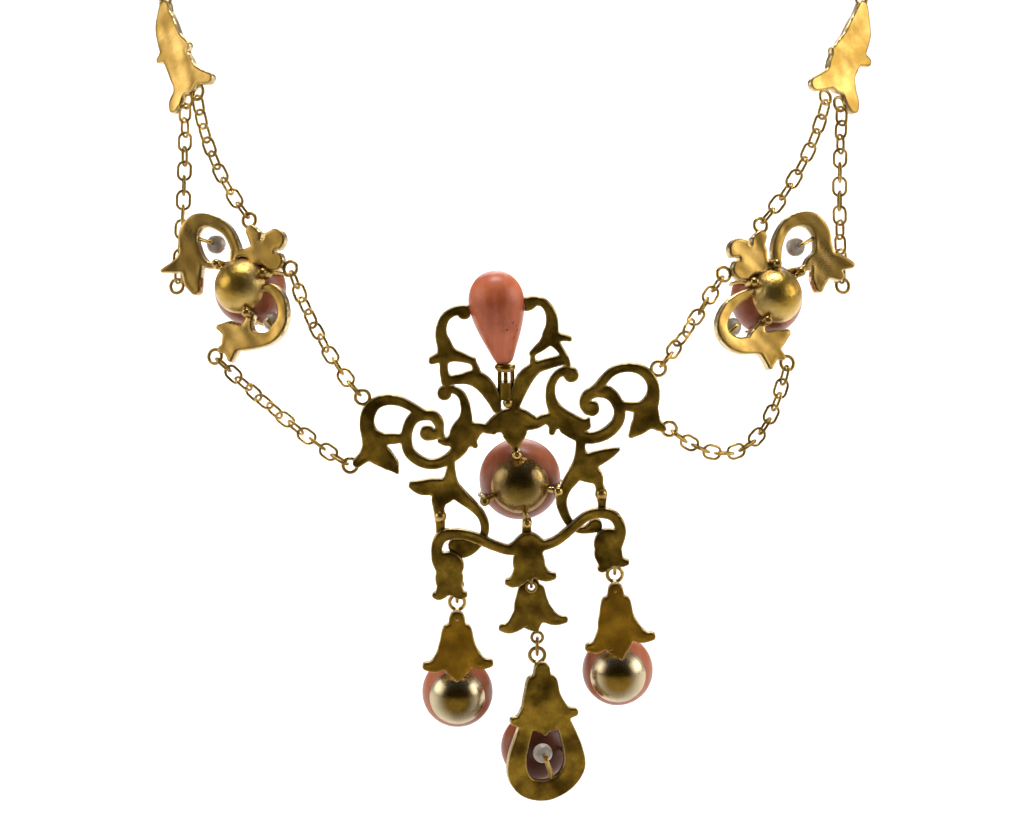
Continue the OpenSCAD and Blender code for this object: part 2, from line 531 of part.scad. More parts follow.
/* Upper plates: a double bell each, in the frame of its own seat */
module plate_left() {
  color("goldenrod") on_seat(PLATE_L) {
    plate(0, 0.75*plate_t) {
      stroke([[-6.2, 6.4, 1.9], [-5.8, 5.2, 2.6], [-5, 4, 3.6], [-3.6, 2.4, 4], [-2.4, 1.2, 4],
        [-0.6, -0.3, 4.2], [1, -1.6, 4.4], [2.4, -2.4, 3.6]]);
      stroke([[-3, 0.8, 3], [-4.4, -0.4, 1]]);
      stroke([[-2, 1.8, 3], [0.1, 1.9, 1.4]]);
      stroke([[1, -1.8, 3.4], [1.2, -4, 2.2], [1, -5.6, 2.4], [1, -6, 1.8]]);
      stroke([[2, -1.6, 3], [4.4, -1.7, 2], [6.2, -1.7, 1.5]]);
    }
    for (p = [[2.8, -5], [4.5, -3.7], [-6.7, 7.1]])
      chain_eye([p.x, 0.6, p.y]);
  }
}
module plate_right() {
  color("goldenrod") on_seat(PLATE_R) {
    plate(0, 0.75*plate_t) {
      stroke([[5.2, 6.6, 1.7], [4.4, 5, 2.8], [3.4, 3.4, 4], [1.8, 1.7, 4.4], [0.4, 0.6, 4.6],
        [-1.2, -1, 4.6], [-2, -2.2, 4]]);
      stroke([[1.6, 0.6, 3], [3.6, -0.5, 1.4]]);
      stroke([[0.7, 1.2, 2.8], [-1.7, 1.5, 1.2]]);
      stroke([[-1, -1.6, 3.6], [-0.9, -3.8, 2.6], [-0.8, -5.4, 2.4], [-0.8, -6, 1.9]]);
      stroke([[-2, -1.8, 3.2], [-4.4, -2.2, 2.4], [-6.4, -2.5, 1.8]]);
    }
    for (p = [[-4.9, -4.3], [-2.7, -5.4], [5.6, 7.7]])
      chain_eye([p.x, 0.6, p.y]);
  }
}

/* Drops, each in a frame whose origin is its swing axis above the eye */
module on_pivot(pivot) {
  on_seat(CENTRE) translate(pivot) children();
}
module ring_left() {
  color("gold") on_pivot(left_pivot) wire_ring(jump_r, jump_wire, true);
}
module ring_right() {
  color("gold") on_pivot(right_pivot) wire_ring(jump_r, jump_wire, true);
}
module ring_mid() {
  color("gold") on_pivot(mid_pivot) wire_ring(mid_jump_r, 0.4, true);
}
module ring_mid_drop() {
  color("gold") on_pivot(mid_drop_pivot) wire_ring(jump_r, jump_wire, true);
}

// Bell cap of a side drop with its eye; tips are x, z below the swing axis
module drop_gold(hang, roll, left, right, tongue, cup_at) {
  translate([0, 0, -eye_fall]) {
    wire_ring(eye_r, eye_wire);
    bar([0, -hang + 0.2, -1.5], [0, 0, -eye_r], 0.7);
    rotate([0, roll, 0]) translate([0, -hang, cup_at])
      hollowed(drop_coral_r, 1.5 + sqrt(drop_coral_r*drop_coral_r - 3.5*3.5)) {
        translate([0, 0, -cup_at]) plate() {
          stroke([[0, -1.5, 2], [0, -2.4, 2.1]]);
          translate([0, -2.2]) bell(2, 4.6, left, right, tongue);
        }
        translate([0, 1.5, 0]) dome(3.5, 2.2);
      }
  }
}
module drop_bead(hang, roll, cup_at) {
  bead_y = 1.5 + sqrt(drop_coral_r*drop_coral_r - 3.5*3.5);
  translate([0, 0, -eye_fall]) rotate([0, roll, 0])
    translate([0, bead_y - hang, cup_at]) sphere(drop_coral_r, $fn = 48);
}
// Height of the cups below the middle of the drops' eyes
left_cup_z = -12.1;
right_cup_z = -12.9;
module drop_left() {
  color("goldenrod") on_pivot(left_pivot)
    drop_gold(drop_hang_y, 0, [-3.9, -5.6], [4.1, -5.2], [0, -7.2], left_cup_z);
}
module drop_left_coral() {
  color("salmon") on_pivot(left_pivot) drop_bead(drop_hang_y, 0, left_cup_z);
}
module drop_right() {
  color("goldenrod") on_pivot(right_pivot)
    drop_gold(drop_hang_y, -2, [-3.6, -6.7], [4.4, -5.5], [0.5, -8], right_cup_z);
}
module drop_right_coral() {
  color("salmon") on_pivot(right_pivot) drop_bead(drop_hang_y, -2, right_cup_z);
}

// Flat bell link between the centre piece and the middle drop, bored near its top
link_t = 0.8;
link_hole_z = -mid_jump_r;
module mid_bell() {
  color("goldenrod") on_pivot(mid_pivot) {
    difference() {
      union() {
        plate(-link_t/2, link_t) translate([0, link_hole_z + 0.3])
          bell(2, 4.2, [-3.7, -5.8], [4.2, -4.7], [0.7, -6]);
        translate([0, -link_t/2, link_hole_z]) wire_ring(0.62, 0.3);
      }
      translate([0, 0, link_hole_z]) rotate([90, 0, 0]) cylinder(d = 0.95, h = 8, center = true);
      translate([-2, link_t/2, link_hole_z - 0.6]) cube([4, 3, 4]);
    }
    translate([mid_drop_side, 0, -mid_drop_fall + lug_rise]) wire_ring(lug_r, lug_wire);
  }
}

// Middle drop: bell cap over an open pear-shaped frame; origin at its swing axis
module mid_drop() {
  color("goldenrod") on_pivot(mid_drop_pivot) translate([0, 0, -eye_fall]) {
    wire_ring(eye_r, eye_wire);
    bar([0, -mid_hang_y + 0.2, -1.5], [0, 0, -eye_r], 0.7);
    rotate([0, 0, mid_turn]) translate([0, -mid_hang_y, 0.3]) {
      plate() {
        stroke([[0, -1.5, 2], [0, -2.5, 2.1]]);
        translate([0, -2.2]) bell(2, 4.8, [-3.6, -6], [4.2, -5.2], [0.4, -7.6]);
        // Pear frame from the cap's left side round to its right side
        stroke([[-1.9, -8.4, 1.8], [-2.6, -10.6, 2], [-3.2, -13, 2.3], [-3.1, -15.2, 2.6],
          [-1.8, -16.9, 2.6], [0.6, -17.4, 2.6], [2.9, -16.4, 2.6], [4.2, -14.5, 2.8], [4.1, -12.4, 2.5],
          [3.5, -10.4, 2.2], [2.8, -8.4, 1.8]]);
        stroke([[-1.8, -8.2, 1.6], [0, -8.8, 1.6], [1.6, -8.8, 1.4], [2.6, -8, 1.4]]);
      }
      // Curved peg up to the pearl
      bar([1.1, 0.5, -16], [0.8, 0.1, -14], 0.8);
      bar([0.8, 0.1, -14], [0.5, 0.3, -13], 0.7);
      translate([0.5, 0.3, -13]) rotate([-90, 0, 0]) cylinder(d = 0.5, h = 1);
      // Posts from the frame to the bead's back
      bar([-3, 1, -13], [-2.5, 3.8, -13], 0.8);
      bar([4, 1, -13], [3.5, 3.75, -13], 0.8);
    }
  }
}
// Turn of the middle drop about its vertical line
mid_turn = 12;
module mid_drop_pearl() {
  color("lavender") on_pivot(mid_drop_pivot) translate([0, 0, -eye_fall]) rotate([0, 0, mid_turn])
    translate([0.5, 0.9 + pearl_r - mid_hang_y, -12.7]) difference() {
      sphere(pearl_r, $fn = 48);
      translate([0, -pearl_r - 0.5, 0]) rotate([-90, 0, 0]) cylinder(d = 0.7, h = 1.6);
    }
}
module mid_drop_coral() {
  // A button bead: a ball with a flat back; rows are depth, radius
  depth = 6.4;
  rows = [for (i = [0 : 14]) let (a = i*180/14) [depth/2*(1 - cos(a)), drop_coral_r*pow(sin(a), 0.8)]];
  color("salmon") on_pivot(mid_drop_pivot) translate([0, 0, -eye_fall]) rotate([0, 0, mid_turn])
    translate([0.6, 3.6 - mid_hang_y, -13.1]) rotate([-90, 0, 0])
      rotate_extrude($fn = 48) polygon([for (p = rows) [p.y, p.x]]);
}

/* Chains: seat and local eye of both ends, count of links, bow */
module chain(seat_a, eye_a, seat_b, eye_b, count, bow) {
  v = at(seat_b, eye_b) - at(seat_a, eye_a);
  a = eye_point(seat_a, eye_a, v + 4*bow);
  b = eye_point(seat_b, eye_b, 4*bow - v);
  color("darkgoldenrod") links_along(hung(a, b, bow), count,
    turned([0, 1, 0], seat_a[1], seat_a[2]), turned([0, 1, 0], seat_b[1], seat_b[2]));
}
module chain_left_outer() {
  chain(PLATE_L, [2.8, 0.6, -5], STATION_L, [-10.6, outer_eye_y, -0.4], 12, [0.2, 0.9, -0.4]);
}
module chain_left_inner() {
  chain(PLATE_L, [4.5, 0.6, -3.7], STATION_L, [-0.1, 0.6, 8.5], 9, [-0.9, 0, -0.5]);
}
module chain_left_swag() {
  chain(STATION_L, [6.65, 0.6, 2.8], CENTRE, [-18.7, 0.6, 1.45], 10, [-0.4, 0, -0.9]);
}
module chain_left_low() {
  chain(STATION_L, [-2.3, 0.6, -9.2], CENTRE, [-20.3, 0.6, -7.3], 12, [0.2, 0, -0.8]);
}
module chain_right_outer() {
  chain(PLATE_R, [-2.7, 0.6, -5.4], STATION_R, [11.2, outer_eye_y, 0.8], 12, [-0.2, 0.9, -0.4]);
}
module chain_right_inner() {
  chain(PLATE_R, [-4.9, 0.6, -4.3], STATION_R, [-0.8, 0.6, 9.1], 9, [0.9, 0, -0.4]);
}
module chain_right_swag() {
  chain(STATION_R, [-6.95, 0.6, 3.3], CENTRE, [18.3, 0.6, 5.1], 8, [0, 0, -0.3]);
}
module chain_right_low() {
  chain(STATION_R, [0.3, 0.6, -8.7], CENTRE, [19.7, 0.6, -2.6], 13, [1.7, 0, -6]);
}

// Curve of the hidden neck chain from a plate's top to the clasp, with its reach k
clasp_half = 4.6;
function neck_line(a, b, out_a, out_b, k) = [for (i = [0 : 60]) let (t = i/60, s = 1 - t)
  a*s*s*s + (a + out_a*k)*3*s*s*t + (b + out_b*k)*3*s*t*t + b*t*t*t];
function reach_for(a, b, out_a, out_b, want, low = 20, high = 80, turns = 18) =
  turns == 0 ? (low + high)/2 :
  let (mid = (low + high)/2)
  length_of(neck_line(a, b, out_a, out_b, mid)) < want
    ? reach_for(a, b, out_a, out_b, want, mid, high, turns - 1)
    : reach_for(a, b, out_a, out_b, want, low, mid, turns - 1);
module neck_chain(seat, eye, m) {
  out_a = [-m*0.5, 0.8, 0.3];
  out_b = [-m*1, 0.05, -0.1];
  a = eye_point(seat, eye, out_a);
  b = eye_point([[0, nape_y, nape_z], 0, 0], [-m*clasp_half, 0, 0], out_b);
  k = reach_for(a, b, out_a, out_b, 2*link_start + (neck_links - 1)*link_pitch);
  color("darkgoldenrod")
    links_along(neck_line(a, b, out_a, out_b, k), neck_links,
      turned([0, 1, 0], seat[1], seat[2]), [0, 1, 0]);
}
module neck_chain_left() {
  neck_chain(PLATE_L, [-6.7, 0.6, 7.1], 1);
}
module neck_chain_right() {
  neck_chain(PLATE_R, [5.6, 0.6, 7.7], -1);
}
// Plain barrel clasp with an eye at each end
module clasp() {
  color("goldenrod") translate([0, nape_y, nape_z]) {
    rotate([0, 90, 0]) cylinder(d = 3.6, h = 5.6, center = true);
    for (m = [-1, 1]) {
      translate([m*2.8, 0, 0]) sphere(d = 3);
      translate([m*clasp_half, 0, 0]) wire_ring(ring_r, ring_wire);
    }
  }
}

centre_frame();
centre_coral();
crest_coral();
station_left();
station_left_coral();
station_left_upper_pearl();
station_left_lower_pearl();
station_right();
station_right_coral();
station_right_upper_pearl();
station_right_lower_pearl();
plate_left();
plate_right();
ring_left();
ring_right();
ring_mid();
ring_mid_drop();
drop_left();
drop_left_coral();
drop_right();
drop_right_coral();
mid_bell();
mid_drop();
mid_drop_coral();
mid_drop_pearl();
chain_left_outer();
chain_left_inner();
chain_left_swag();
chain_left_low();
chain_right_outer();
chain_right_inner();
chain_right_swag();
chain_right_low();
neck_chain_left();
neck_chain_right();
clasp();
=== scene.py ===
# %% [markdown]
# # A festoon necklace in old gold, coral and pearl
#
# The necklace is seen from behind: flat gold backs, domed cups that hold round coral beads, and fine
# cable chain. The CAD solids could be shown as they are, but their edges are sharp and their flats mirror
# like glass. So each gold plate is made again as a thin sheet with softened rims, solder blends and a raised
# front, and every finish is built from nodes.

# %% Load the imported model, which gives every piece its place
import bmesh
import bpy
import numpy as np
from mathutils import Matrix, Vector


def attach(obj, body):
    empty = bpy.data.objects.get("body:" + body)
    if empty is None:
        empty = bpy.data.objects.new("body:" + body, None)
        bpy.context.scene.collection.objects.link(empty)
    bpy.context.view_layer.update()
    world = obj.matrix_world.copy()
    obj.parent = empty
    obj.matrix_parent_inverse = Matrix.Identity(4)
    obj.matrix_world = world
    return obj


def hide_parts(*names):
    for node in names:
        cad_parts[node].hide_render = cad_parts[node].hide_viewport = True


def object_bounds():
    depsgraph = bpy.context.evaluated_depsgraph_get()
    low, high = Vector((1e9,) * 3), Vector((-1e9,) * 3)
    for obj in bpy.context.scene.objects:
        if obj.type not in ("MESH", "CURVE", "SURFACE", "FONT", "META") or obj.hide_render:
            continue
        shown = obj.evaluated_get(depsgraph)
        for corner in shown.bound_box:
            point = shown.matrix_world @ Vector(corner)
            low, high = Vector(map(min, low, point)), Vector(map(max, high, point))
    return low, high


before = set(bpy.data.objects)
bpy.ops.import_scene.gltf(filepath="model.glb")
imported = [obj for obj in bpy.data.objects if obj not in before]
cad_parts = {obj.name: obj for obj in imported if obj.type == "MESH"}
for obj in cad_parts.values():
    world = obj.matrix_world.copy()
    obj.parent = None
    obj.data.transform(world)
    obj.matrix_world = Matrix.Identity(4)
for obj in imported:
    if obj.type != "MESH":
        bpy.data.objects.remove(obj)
cad_low, cad_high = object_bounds()

# %% [markdown]
# ## Seats
#
# Each soldered piece is drawn flat, in millimetres, with x to the side, z up and y towards its decorated
# face. It could be drawn leaned and turned as it sits, but a flat drawing is easier to read. So a seat says
# where the drawing sits on the wearer: its place, how far it leans and how far it turns.

# %% Seats of the rigid pieces
MM = 0.001


def seat(place, lean=0, turn=0):
    """A place with the matrix that leans about x and then turns about z."""
    a, b = np.radians([lean, turn])
    about_x = np.array([[1, 0, 0], [0, np.cos(a), -np.sin(a)], [0, np.sin(a), np.cos(a)]])
    about_z = np.array([[np.cos(b), -np.sin(b), 0], [np.sin(b), np.cos(b), 0], [0, 0, 1]])
    return np.array(place, float), about_z @ about_x


CENTRE = seat([0, -60, -42])
STATION_L = seat([-34.6, -49, -28.3], -18, -25)
STATION_R = seat([33.7, -49, -29.5], -18, 25)
PLATE_L = seat([-42.3, -39, -0.9], -20, -48)
PLATE_R = seat([42.8, -39, -0.9], -20, 42)
HANG = 3.0
MID_HANG = 3.2
LEFT_PIVOT = np.array([-6.95, HANG, -24.45])
RIGHT_PIVOT = np.array([13, HANG, -20.8])
MID_PIVOT = np.array([2.45, MID_HANG, -22.4])
MID_DROP_PIVOT = MID_PIVOT + [0.75, 0, -9]
EYE_FALL = 1.15
print("centre piece at", CENTRE[0])

# %% [markdown]
# ## Drawing with strokes
#
# A goldsmith saws and files a scroll as a line that swells and thins. A closed outline could give it, but
# each width would hang on two points. So each plate is a table of strokes, and each row of a stroke is x, z
# and width. The rows are the ones that the CAD uses.

# %% Stroke tables in millimetres
CENTRE_STROKES = [
    [[-5.95, 12.3, 1.8], [-6.5, 12.5, 1.3], [-7.4, 12.3, 1.1], [-8.3, 11.6, 1.15], [-8.8, 10.4, 1.35],
     [-8.8, 9.2, 1.55], [-8.4, 8, 1.9], [-8.2, 7, 2.2]],
    [[-8, 7, 1.8], [-6.4, 6.6, 1.2], [-4.9, 6.1, 0.8]],
    [[-8.6, 6.7, 1.3], [-9.4, 6.4, 1.1], [-10, 6.15, 0.9]],
    [[-8.5, 6.3, 1.1], [-8.5, 4.8, 1.1], [-8.2, 3.5, 1.3]],
    [[-4.9, 6.1, 0.7], [-4.4, 4.9, 0.9]],
    [[1.5, 13.2, 1.5], [2.1, 13.4, 1.7], [2.9, 13.7, 1.2], [3.7, 13.6, 1.1], [4.4, 13, 1.15],
     [4.9, 11.9, 1.4], [5, 10.6, 1.65], [4.8, 9.4, 1.9]],
    [[4.8, 9.4, 1.9], [4, 8.3, 1.3], [3, 7.45, 0.9], [2.45, 7.05, 0.6]],
    [[5.2, 9.1, 1.3], [6.3, 9.1, 0.9], [7.2, 8.9, 0.6]],
    [[5.2, 8.6, 1.3], [6, 7.6, 0.9], [6.6, 6.5, 0.9]],
    [[2.6, 7, 0.5], [2.6, 6, 0.8]],
    [[0.3, 0.2, 1.2], [0.9, 2.4, 1.9], [1.7, 4, 2], [3, 5.2, 1.5], [4.6, 5.8, 1.35], [6.4, 6.2, 1.2],
     [7, 5.7, 0.7]],
    [[-1.9, 0.1, 1.2], [-2.4, 1.5, 1.8], [-3.4, 3, 2.1], [-4.7, 3.9, 2], [-6.2, 3.85, 1.3],
     [-8.1, 3.6, 1.1]],
    [[-8.45, 2, 1.8], [-7.9, 2.45, 1.1], [-7.1, 2.35, 0.9], [-6.3, 1.7, 1], [-5.9, 0.7, 1.2],
     [-5.75, -0.5, 1.4], [-5.9, -1.7, 1.9], [-6.6, -3.1, 2.4], [-7, -4.4, 1.6]],
    [[7.4, 4.35, 1.9], [6.6, 4.8, 1.2], [5.6, 4.3, 1], [4.95, 3.2, 1.1], [4.8, 2, 1.25], [5, 0.8, 1.5],
     [5.7, -0.5, 1.9], [6.9, -1.5, 2.2], [8.4, -2.1, 1.9], [9.3, -2.1, 1.2]],
    [[-6, -3.4, 3], [-5, -2.9, 2.6], [-3.9, -2.45, 1.2], [-3, -2.5, 1.3], [-1.8, -1.9, 2.2],
     [-0.5, -1.4, 2.8], [0.8, -1.35, 2.8], [2, -1.65, 2.1], [3.1, -1.8, 1.4], [4.2, -1.3, 1.3],
     [5.4, -1.6, 1.9]],
    [[-5.4, -3.6, 1.6], [-4.6, -4.7, 0.7]],
    [[-2.6, -2.6, 1], [-2.3, -2.95, 0.6]],
    [[5.2, -2, 1.2], [5, -2.95, 0.8]],
    [[0.3, -1.4, 3], [0.3, -3, 3.2], [0.35, -4, 2.2], [0.4, -4.9, 0.9]],
    [[-11.9, -0.8, 1.5], [-12.7, -1.7, 1.4], [-13.15, -3, 1.4], [-13.2, -4.3, 1.4], [-12.8, -5.6, 1.4],
     [-11.7, -6.6, 1.35], [-10.2, -7.1, 1.25], [-8.7, -6.8, 1.3], [-7.4, -6, 1.5], [-6.6, -5, 2],
     [-6.2, -4, 2.2]],
    [[-12, -0.9, 1.3], [-11, -0.8, 1.3], [-9.9, -0.9, 1.3], [-9.2, -1.7, 1.3], [-9.1, -2.7, 1.1],
     [-9.7, -3.3, 1.2], [-10.6, -3.1, 1.9]],
    [[-7.4, -4, 1.4], [-8.4, -4.3, 0.8], [-9.1, -4.1, 0.5]],
    [[-9, -3, 0.9], [-8.6, -3.8, 0.6]],
    [[11.9, 2.2, 1.5], [12.7, 1.5, 1.5], [13.3, 0.4, 1.45], [13.45, -0.8, 1.5], [13, -2, 1.5],
     [12, -3, 1.5], [10.7, -3.6, 1.45], [9.4, -3.7, 1.45], [8, -3.2, 1.6], [6.8, -2.4, 1.8]],
    [[12.2, 1.9, 1.2], [11.3, 2.1, 1.3], [10.2, 2.1, 1.4], [9.3, 1.5, 1.4], [9, 0.6, 1.2],
     [9.4, -0.1, 1.2], [10, 0.05, 1.9]],
    [[9.1, -1.9, 1], [9.6, -1.4, 0.5]],
    [[-11.3, -0.6, 1.1], [-12.5, 0.2, 1.1], [-14, 0.95, 1.2], [-15.6, 1.15, 1.35], [-17, 0.7, 1.5],
     [-17.9, -0.4, 1.8], [-18.15, -1.9, 1.9], [-17.8, -3.3, 2.2], [-17.2, -4.3, 3]],
    [[-17.4, -4.2, 2.4], [-16, -3.9, 1.5], [-14.6, -3.8, 1.3], [-13.8, -3.8, 1]],
    [[-17.2, -4.4, 2.8], [-17, -5.4, 3], [-15.9, -6.4, 2.4], [-15, -7.2, 1.8], [-14.4, -8.1, 0.5]],
    [[-17.6, -5.2, 2.4], [-18.6, -6.2, 1.5], [-19.4, -6.9, 1.2]],
    [[10.5, 2.4, 1.2], [11.4, 3.6, 1.15], [12.5, 4.7, 1.1], [14, 5.25, 1.1], [15.6, 5.15, 1.2],
     [16.9, 4.4, 1.4], [17.6, 3.1, 1.5], [17.6, 1.6, 1.8], [17.1, 0.2, 2.4], [16.8, -1, 3.1]],
    [[17, 0.2, 1.6], [15.4, 0.2, 1.3], [14, 0.4, 1]],
    [[16.8, -0.6, 3], [16.4, -1.6, 2.6], [15.6, -2.6, 1.9], [14.9, -3.4, 0.7]],
    [[17.2, -0.8, 2.2], [18, -1.9, 1.5], [18.9, -2.5, 0.9]],
    [[-7.6, -7, 0.9], [-7.7, -8.2, 1.3], [-7.8, -9.6, 2], [-8.2, -10.6, 2.6], [-9, -11.4, 2.2],
     [-9.2, -12.6, 1.5], [-9.05, -13.8, 1.35], [-9, -15, 1.2], [-9, -15.6, 1.2]],
    [[-8.4, -10, 2], [-10, -10, 2.1], [-11.4, -10.1, 1.8], [-12.5, -9.8, 1]],
    [[-7.8, -9.8, 2], [-6.4, -11.2, 1.7], [-5, -12.4, 1.3], [-3.9, -13.6, 1.1], [-3.4, -15, 1.1],
     [-3.6, -16.4, 1], [-4.3, -17.5, 0.9], [-5.3, -18.2, 1.2], [-6.4, -18.5, 1.3], [-7.2, -17.6, 1.7]],
    [[-6.9, -17.5, 1.8], [-5.4, -17.4, 1.4]],
    [[8.6, -4.1, 1.2], [8.6, -5.6, 1.4], [8.9, -7, 2.4], [9.4, -7.9, 2.9], [10.6, -8.8, 1.7],
     [10.95, -9.8, 1.1], [11.2, -10.9, 1.4], [11.3, -12, 1.1], [11.3, -13, 1]],
    [[9.2, -7, 2.2], [10.8, -6.3, 1.9], [12.2, -5.7, 1.3], [13.3, -5.2, 0.5]],
    [[8.7, -7.2, 2.2], [7.6, -8.8, 1.8], [6.7, -10.2, 1.4], [6.2, -11.7, 1.4], [6.5, -13.2, 1.2],
     [7.2, -14.6, 1], [8.3, -15.5, 0.8], [9.4, -15.5, 1], [10.5, -15, 1.7]],
    [[1.85, -14.75, 1.2], [1.85, -15.6, 1.2], [1.9, -17, 1.6]],
]
YOKE_STROKES = [
    [[-7.2, -19.9, 2.2], [-8.9, -19.6, 2], [-9.45, -18.3, 1.45], [-9.3, -17, 1.45], [-8.6, -16.1, 1.5],
     [-7.2, -15.85, 1.3], [-5.6, -16.05, 1.2], [-4, -16.6, 1.3], [-2.2, -17.4, 1.2],
     [-0.4, -17.9, 1.3], [1.2, -17.4, 2], [2.6, -17.3, 2], [4.1, -17.3, 1.3], [5.5, -16.8, 1.2],
     [6.8, -15.8, 1.2], [8, -14.7, 1.2], [9.4, -13.6, 1.2], [11, -13.15, 1.3], [12.6, -13.5, 1.3],
     [13.5, -14.7, 1.4], [13.5, -16.2, 1.5], [12.6, -17.2, 1.8], [11, -17.3, 1.3]],
]
STATION_LEFT_STROKES = [
    [[-1.35, 3.3, 1], [-1.2, 4.4, 1.3], [-1.75, 5.6, 1.3], [-2.7, 6.8, 1.4], [-4.1, 7.6, 1.6],
     [-5.7, 7.95, 1.7], [-7.2, 7.5, 2.2], [-8, 6.2, 2.6], [-7.9, 4.8, 2.7], [-7.5, 3.6, 3],
     [-7.4, 2.6, 3.6]],
    [[-7, 3.4, 1.8], [-5.9, 2.9, 1.1], [-4.9, 2.3, 0.9], [-3.4, 2.3, 0.8], [-2, 2.6, 0.8]],
    [[-7.8, 2.5, 2.6], [-9.3, 1.7, 1.6], [-11, 1, 0.5]],
    [[-7, 1.8, 2.8], [-6.7, 0.2, 2.4], [-6.1, -1, 1.4]],
    [[0.7, 7.1, 1.5], [1.7, 6, 2.2], [2.8, 5, 3.4]],
    [[3, 5, 3.6], [4.3, 6.2, 2.8]],
    [[3, 4.8, 3.6], [4.5, 3.5, 2.6]],
    [[1, 4.3, 1.6], [2, 4, 2.4]],
    [[-1.3, 4.1, 1], [0.4, 4.3, 1]],
    [[3.2, 0, 0.8], [4.6, 0, 1.3], [5.8, -0.9, 1.5], [6.6, -2.3, 1.5], [6.8, -3.8, 1.6],
     [6.3, -5.2, 1.9], [5.3, -6.3, 1.7], [3.8, -6.7, 2], [2.2, -6.7, 2.8], [0.6, -6.4, 3.6],
     [-0.6, -5.7, 2.4], [-2, -5.5, 0.8]],
    [[0.2, -6.8, 3], [0.2, -8.2, 2.2], [0.35, -9.4, 0.8]],
    [[0.2, -6.6, 2.4], [-0.6, -7.9, 1.4], [-1.2, -8.3, 0.9]],
    [[1.8, -5.8, 2.2], [2, -4.6, 1.2], [2.2, -3.6, 1]],
]
STATION_LEFT_SLITS = [
    [[2.45, 8, 0.35], [2.4, 6.3, 0.35]],
    [[6.4, 5, 0.4], [4.6, 4.75, 0.4]],
]
PLATE_LEFT_STROKES = [
    [[-6.2, 6.4, 1.9], [-5.8, 5.2, 2.6], [-5, 4, 3.6], [-3.6, 2.4, 4], [-2.4, 1.2, 4],
     [-0.6, -0.3, 4.2], [1, -1.6, 4.4], [2.4, -2.4, 3.6]],
    [[-3, 0.8, 3], [-4.4, -0.4, 1]],
    [[-2, 1.8, 3], [0.1, 1.9, 1.4]],
    [[1, -1.8, 3.4], [1.2, -4, 2.2], [1, -5.6, 2.4], [1, -6, 1.8]],
    [[2, -1.6, 3], [4.4, -1.7, 2], [6.2, -1.7, 1.5]],
]
STATION_RIGHT_STROKES = [
    [[0.5, 3.3, 1], [0.6, 4.8, 1.3], [0.85, 6.2, 1.4], [1.6, 7.7, 1.4], [2.8, 8.9, 1.5],
     [4.6, 9.4, 1.8], [6.3, 8.9, 2.2], [7.2, 7.5, 2.3], [7.3, 6, 2.4], [7.3, 4.6, 2.8],
     [7.2, 3.4, 3.6]],
    [[6.6, 4.4, 1.8], [5.4, 4, 1.2], [4.6, 3.2, 0.9], [3.6, 3, 0.8], [2.2, 2.9, 0.8]],
    [[7.8, 3.6, 2.8], [9.4, 3.4, 2], [10.8, 3, 1]],
    [[6.7, 2.8, 2.8], [6.2, 1.4, 2.2], [6, 0.4, 1.2]],
    [[8, 2.6, 2.2], [9, 1.8, 1.4]],
    [[-1.3, 7.6, 1.6], [-2.2, 6.4, 2.4], [-3, 5.2, 3.6]],
    [[-3.2, 5.2, 3.6], [-4.7, 6.1, 3]],
    [[-3.2, 4.8, 3.6], [-4.6, 3.6, 2.8]],
    [[-1.6, 5.8, 1.8], [-2, 4.2, 2.6]],
    [[0.4, 3.9, 0.9], [-1.2, 4, 1.1]],
    [[-3.2, 0.8, 0.9], [-4.6, 0.4, 1.2], [-6.2, -0.3, 1.4], [-7.6, -1.4, 1.5], [-8.5, -2.9, 1.6],
     [-8.5, -4.3, 1.7], [-7.6, -5.4, 1.9], [-6.3, -6, 2.1], [-4.4, -6, 2.4], [-2.6, -6, 3],
     [-1, -5.6, 2.4], [0.6, -4.9, 1]],
    [[-2.4, -6.2, 3], [-2.4, -7.8, 2.2], [-2.6, -9, 0.8]],
    [[-2, -6.4, 2.4], [-1.2, -7.4, 1.6], [-0.6, -7.9, 0.9]],
    [[-3.8, -5.2, 2.2], [-3, -3.8, 1.2], [-2.4, -3, 1]],
]
STATION_RIGHT_SLITS = [
    [[-2.8, 8.4, 0.35], [-2.95, 6.8, 0.35]],
    [[-6.8, 5, 0.4], [-5, 5, 0.4]],
]
PLATE_RIGHT_STROKES = [
    [[5.2, 6.6, 1.7], [4.4, 5, 2.8], [3.4, 3.4, 4], [1.8, 1.7, 4.4], [0.4, 0.6, 4.6], [-1.2, -1, 4.6],
     [-2, -2.2, 4]],
    [[1.6, 0.6, 3], [3.6, -0.5, 1.4]],
    [[0.7, 1.2, 2.8], [-1.7, 1.5, 1.2]],
    [[-1, -1.6, 3.6], [-0.9, -3.8, 2.6], [-0.8, -5.4, 2.4], [-0.8, -6, 1.9]],
    [[-2, -1.8, 3.2], [-4.4, -2.2, 2.4], [-6.4, -2.5, 1.8]],
]
PEAR_STROKES = [
    [[0, -1.5, 2], [0, -2.5, 2.1]],
    [[-1.9, -8.4, 1.8], [-2.6, -10.6, 2], [-3.2, -13, 2.3], [-3.1, -15.2, 2.6], [-1.8, -16.9, 2.6],
     [0.6, -17.4, 2.6], [2.9, -16.4, 2.6], [4.2, -14.5, 2.8], [4.1, -12.4, 2.5], [3.5, -10.4, 2.2],
     [2.8, -8.4, 1.8]],
    [[-1.8, -8.2, 1.6], [0, -8.8, 1.6], [1.6, -8.8, 1.4], [2.6, -8, 1.4]],
]

# %% [markdown]
# A bell flower is the same everywhere: a neck, a waist, two lips that curl out, and a tongue between them.
# Each could have a table of its own. One function keeps all seven related, and its calls show what differs.

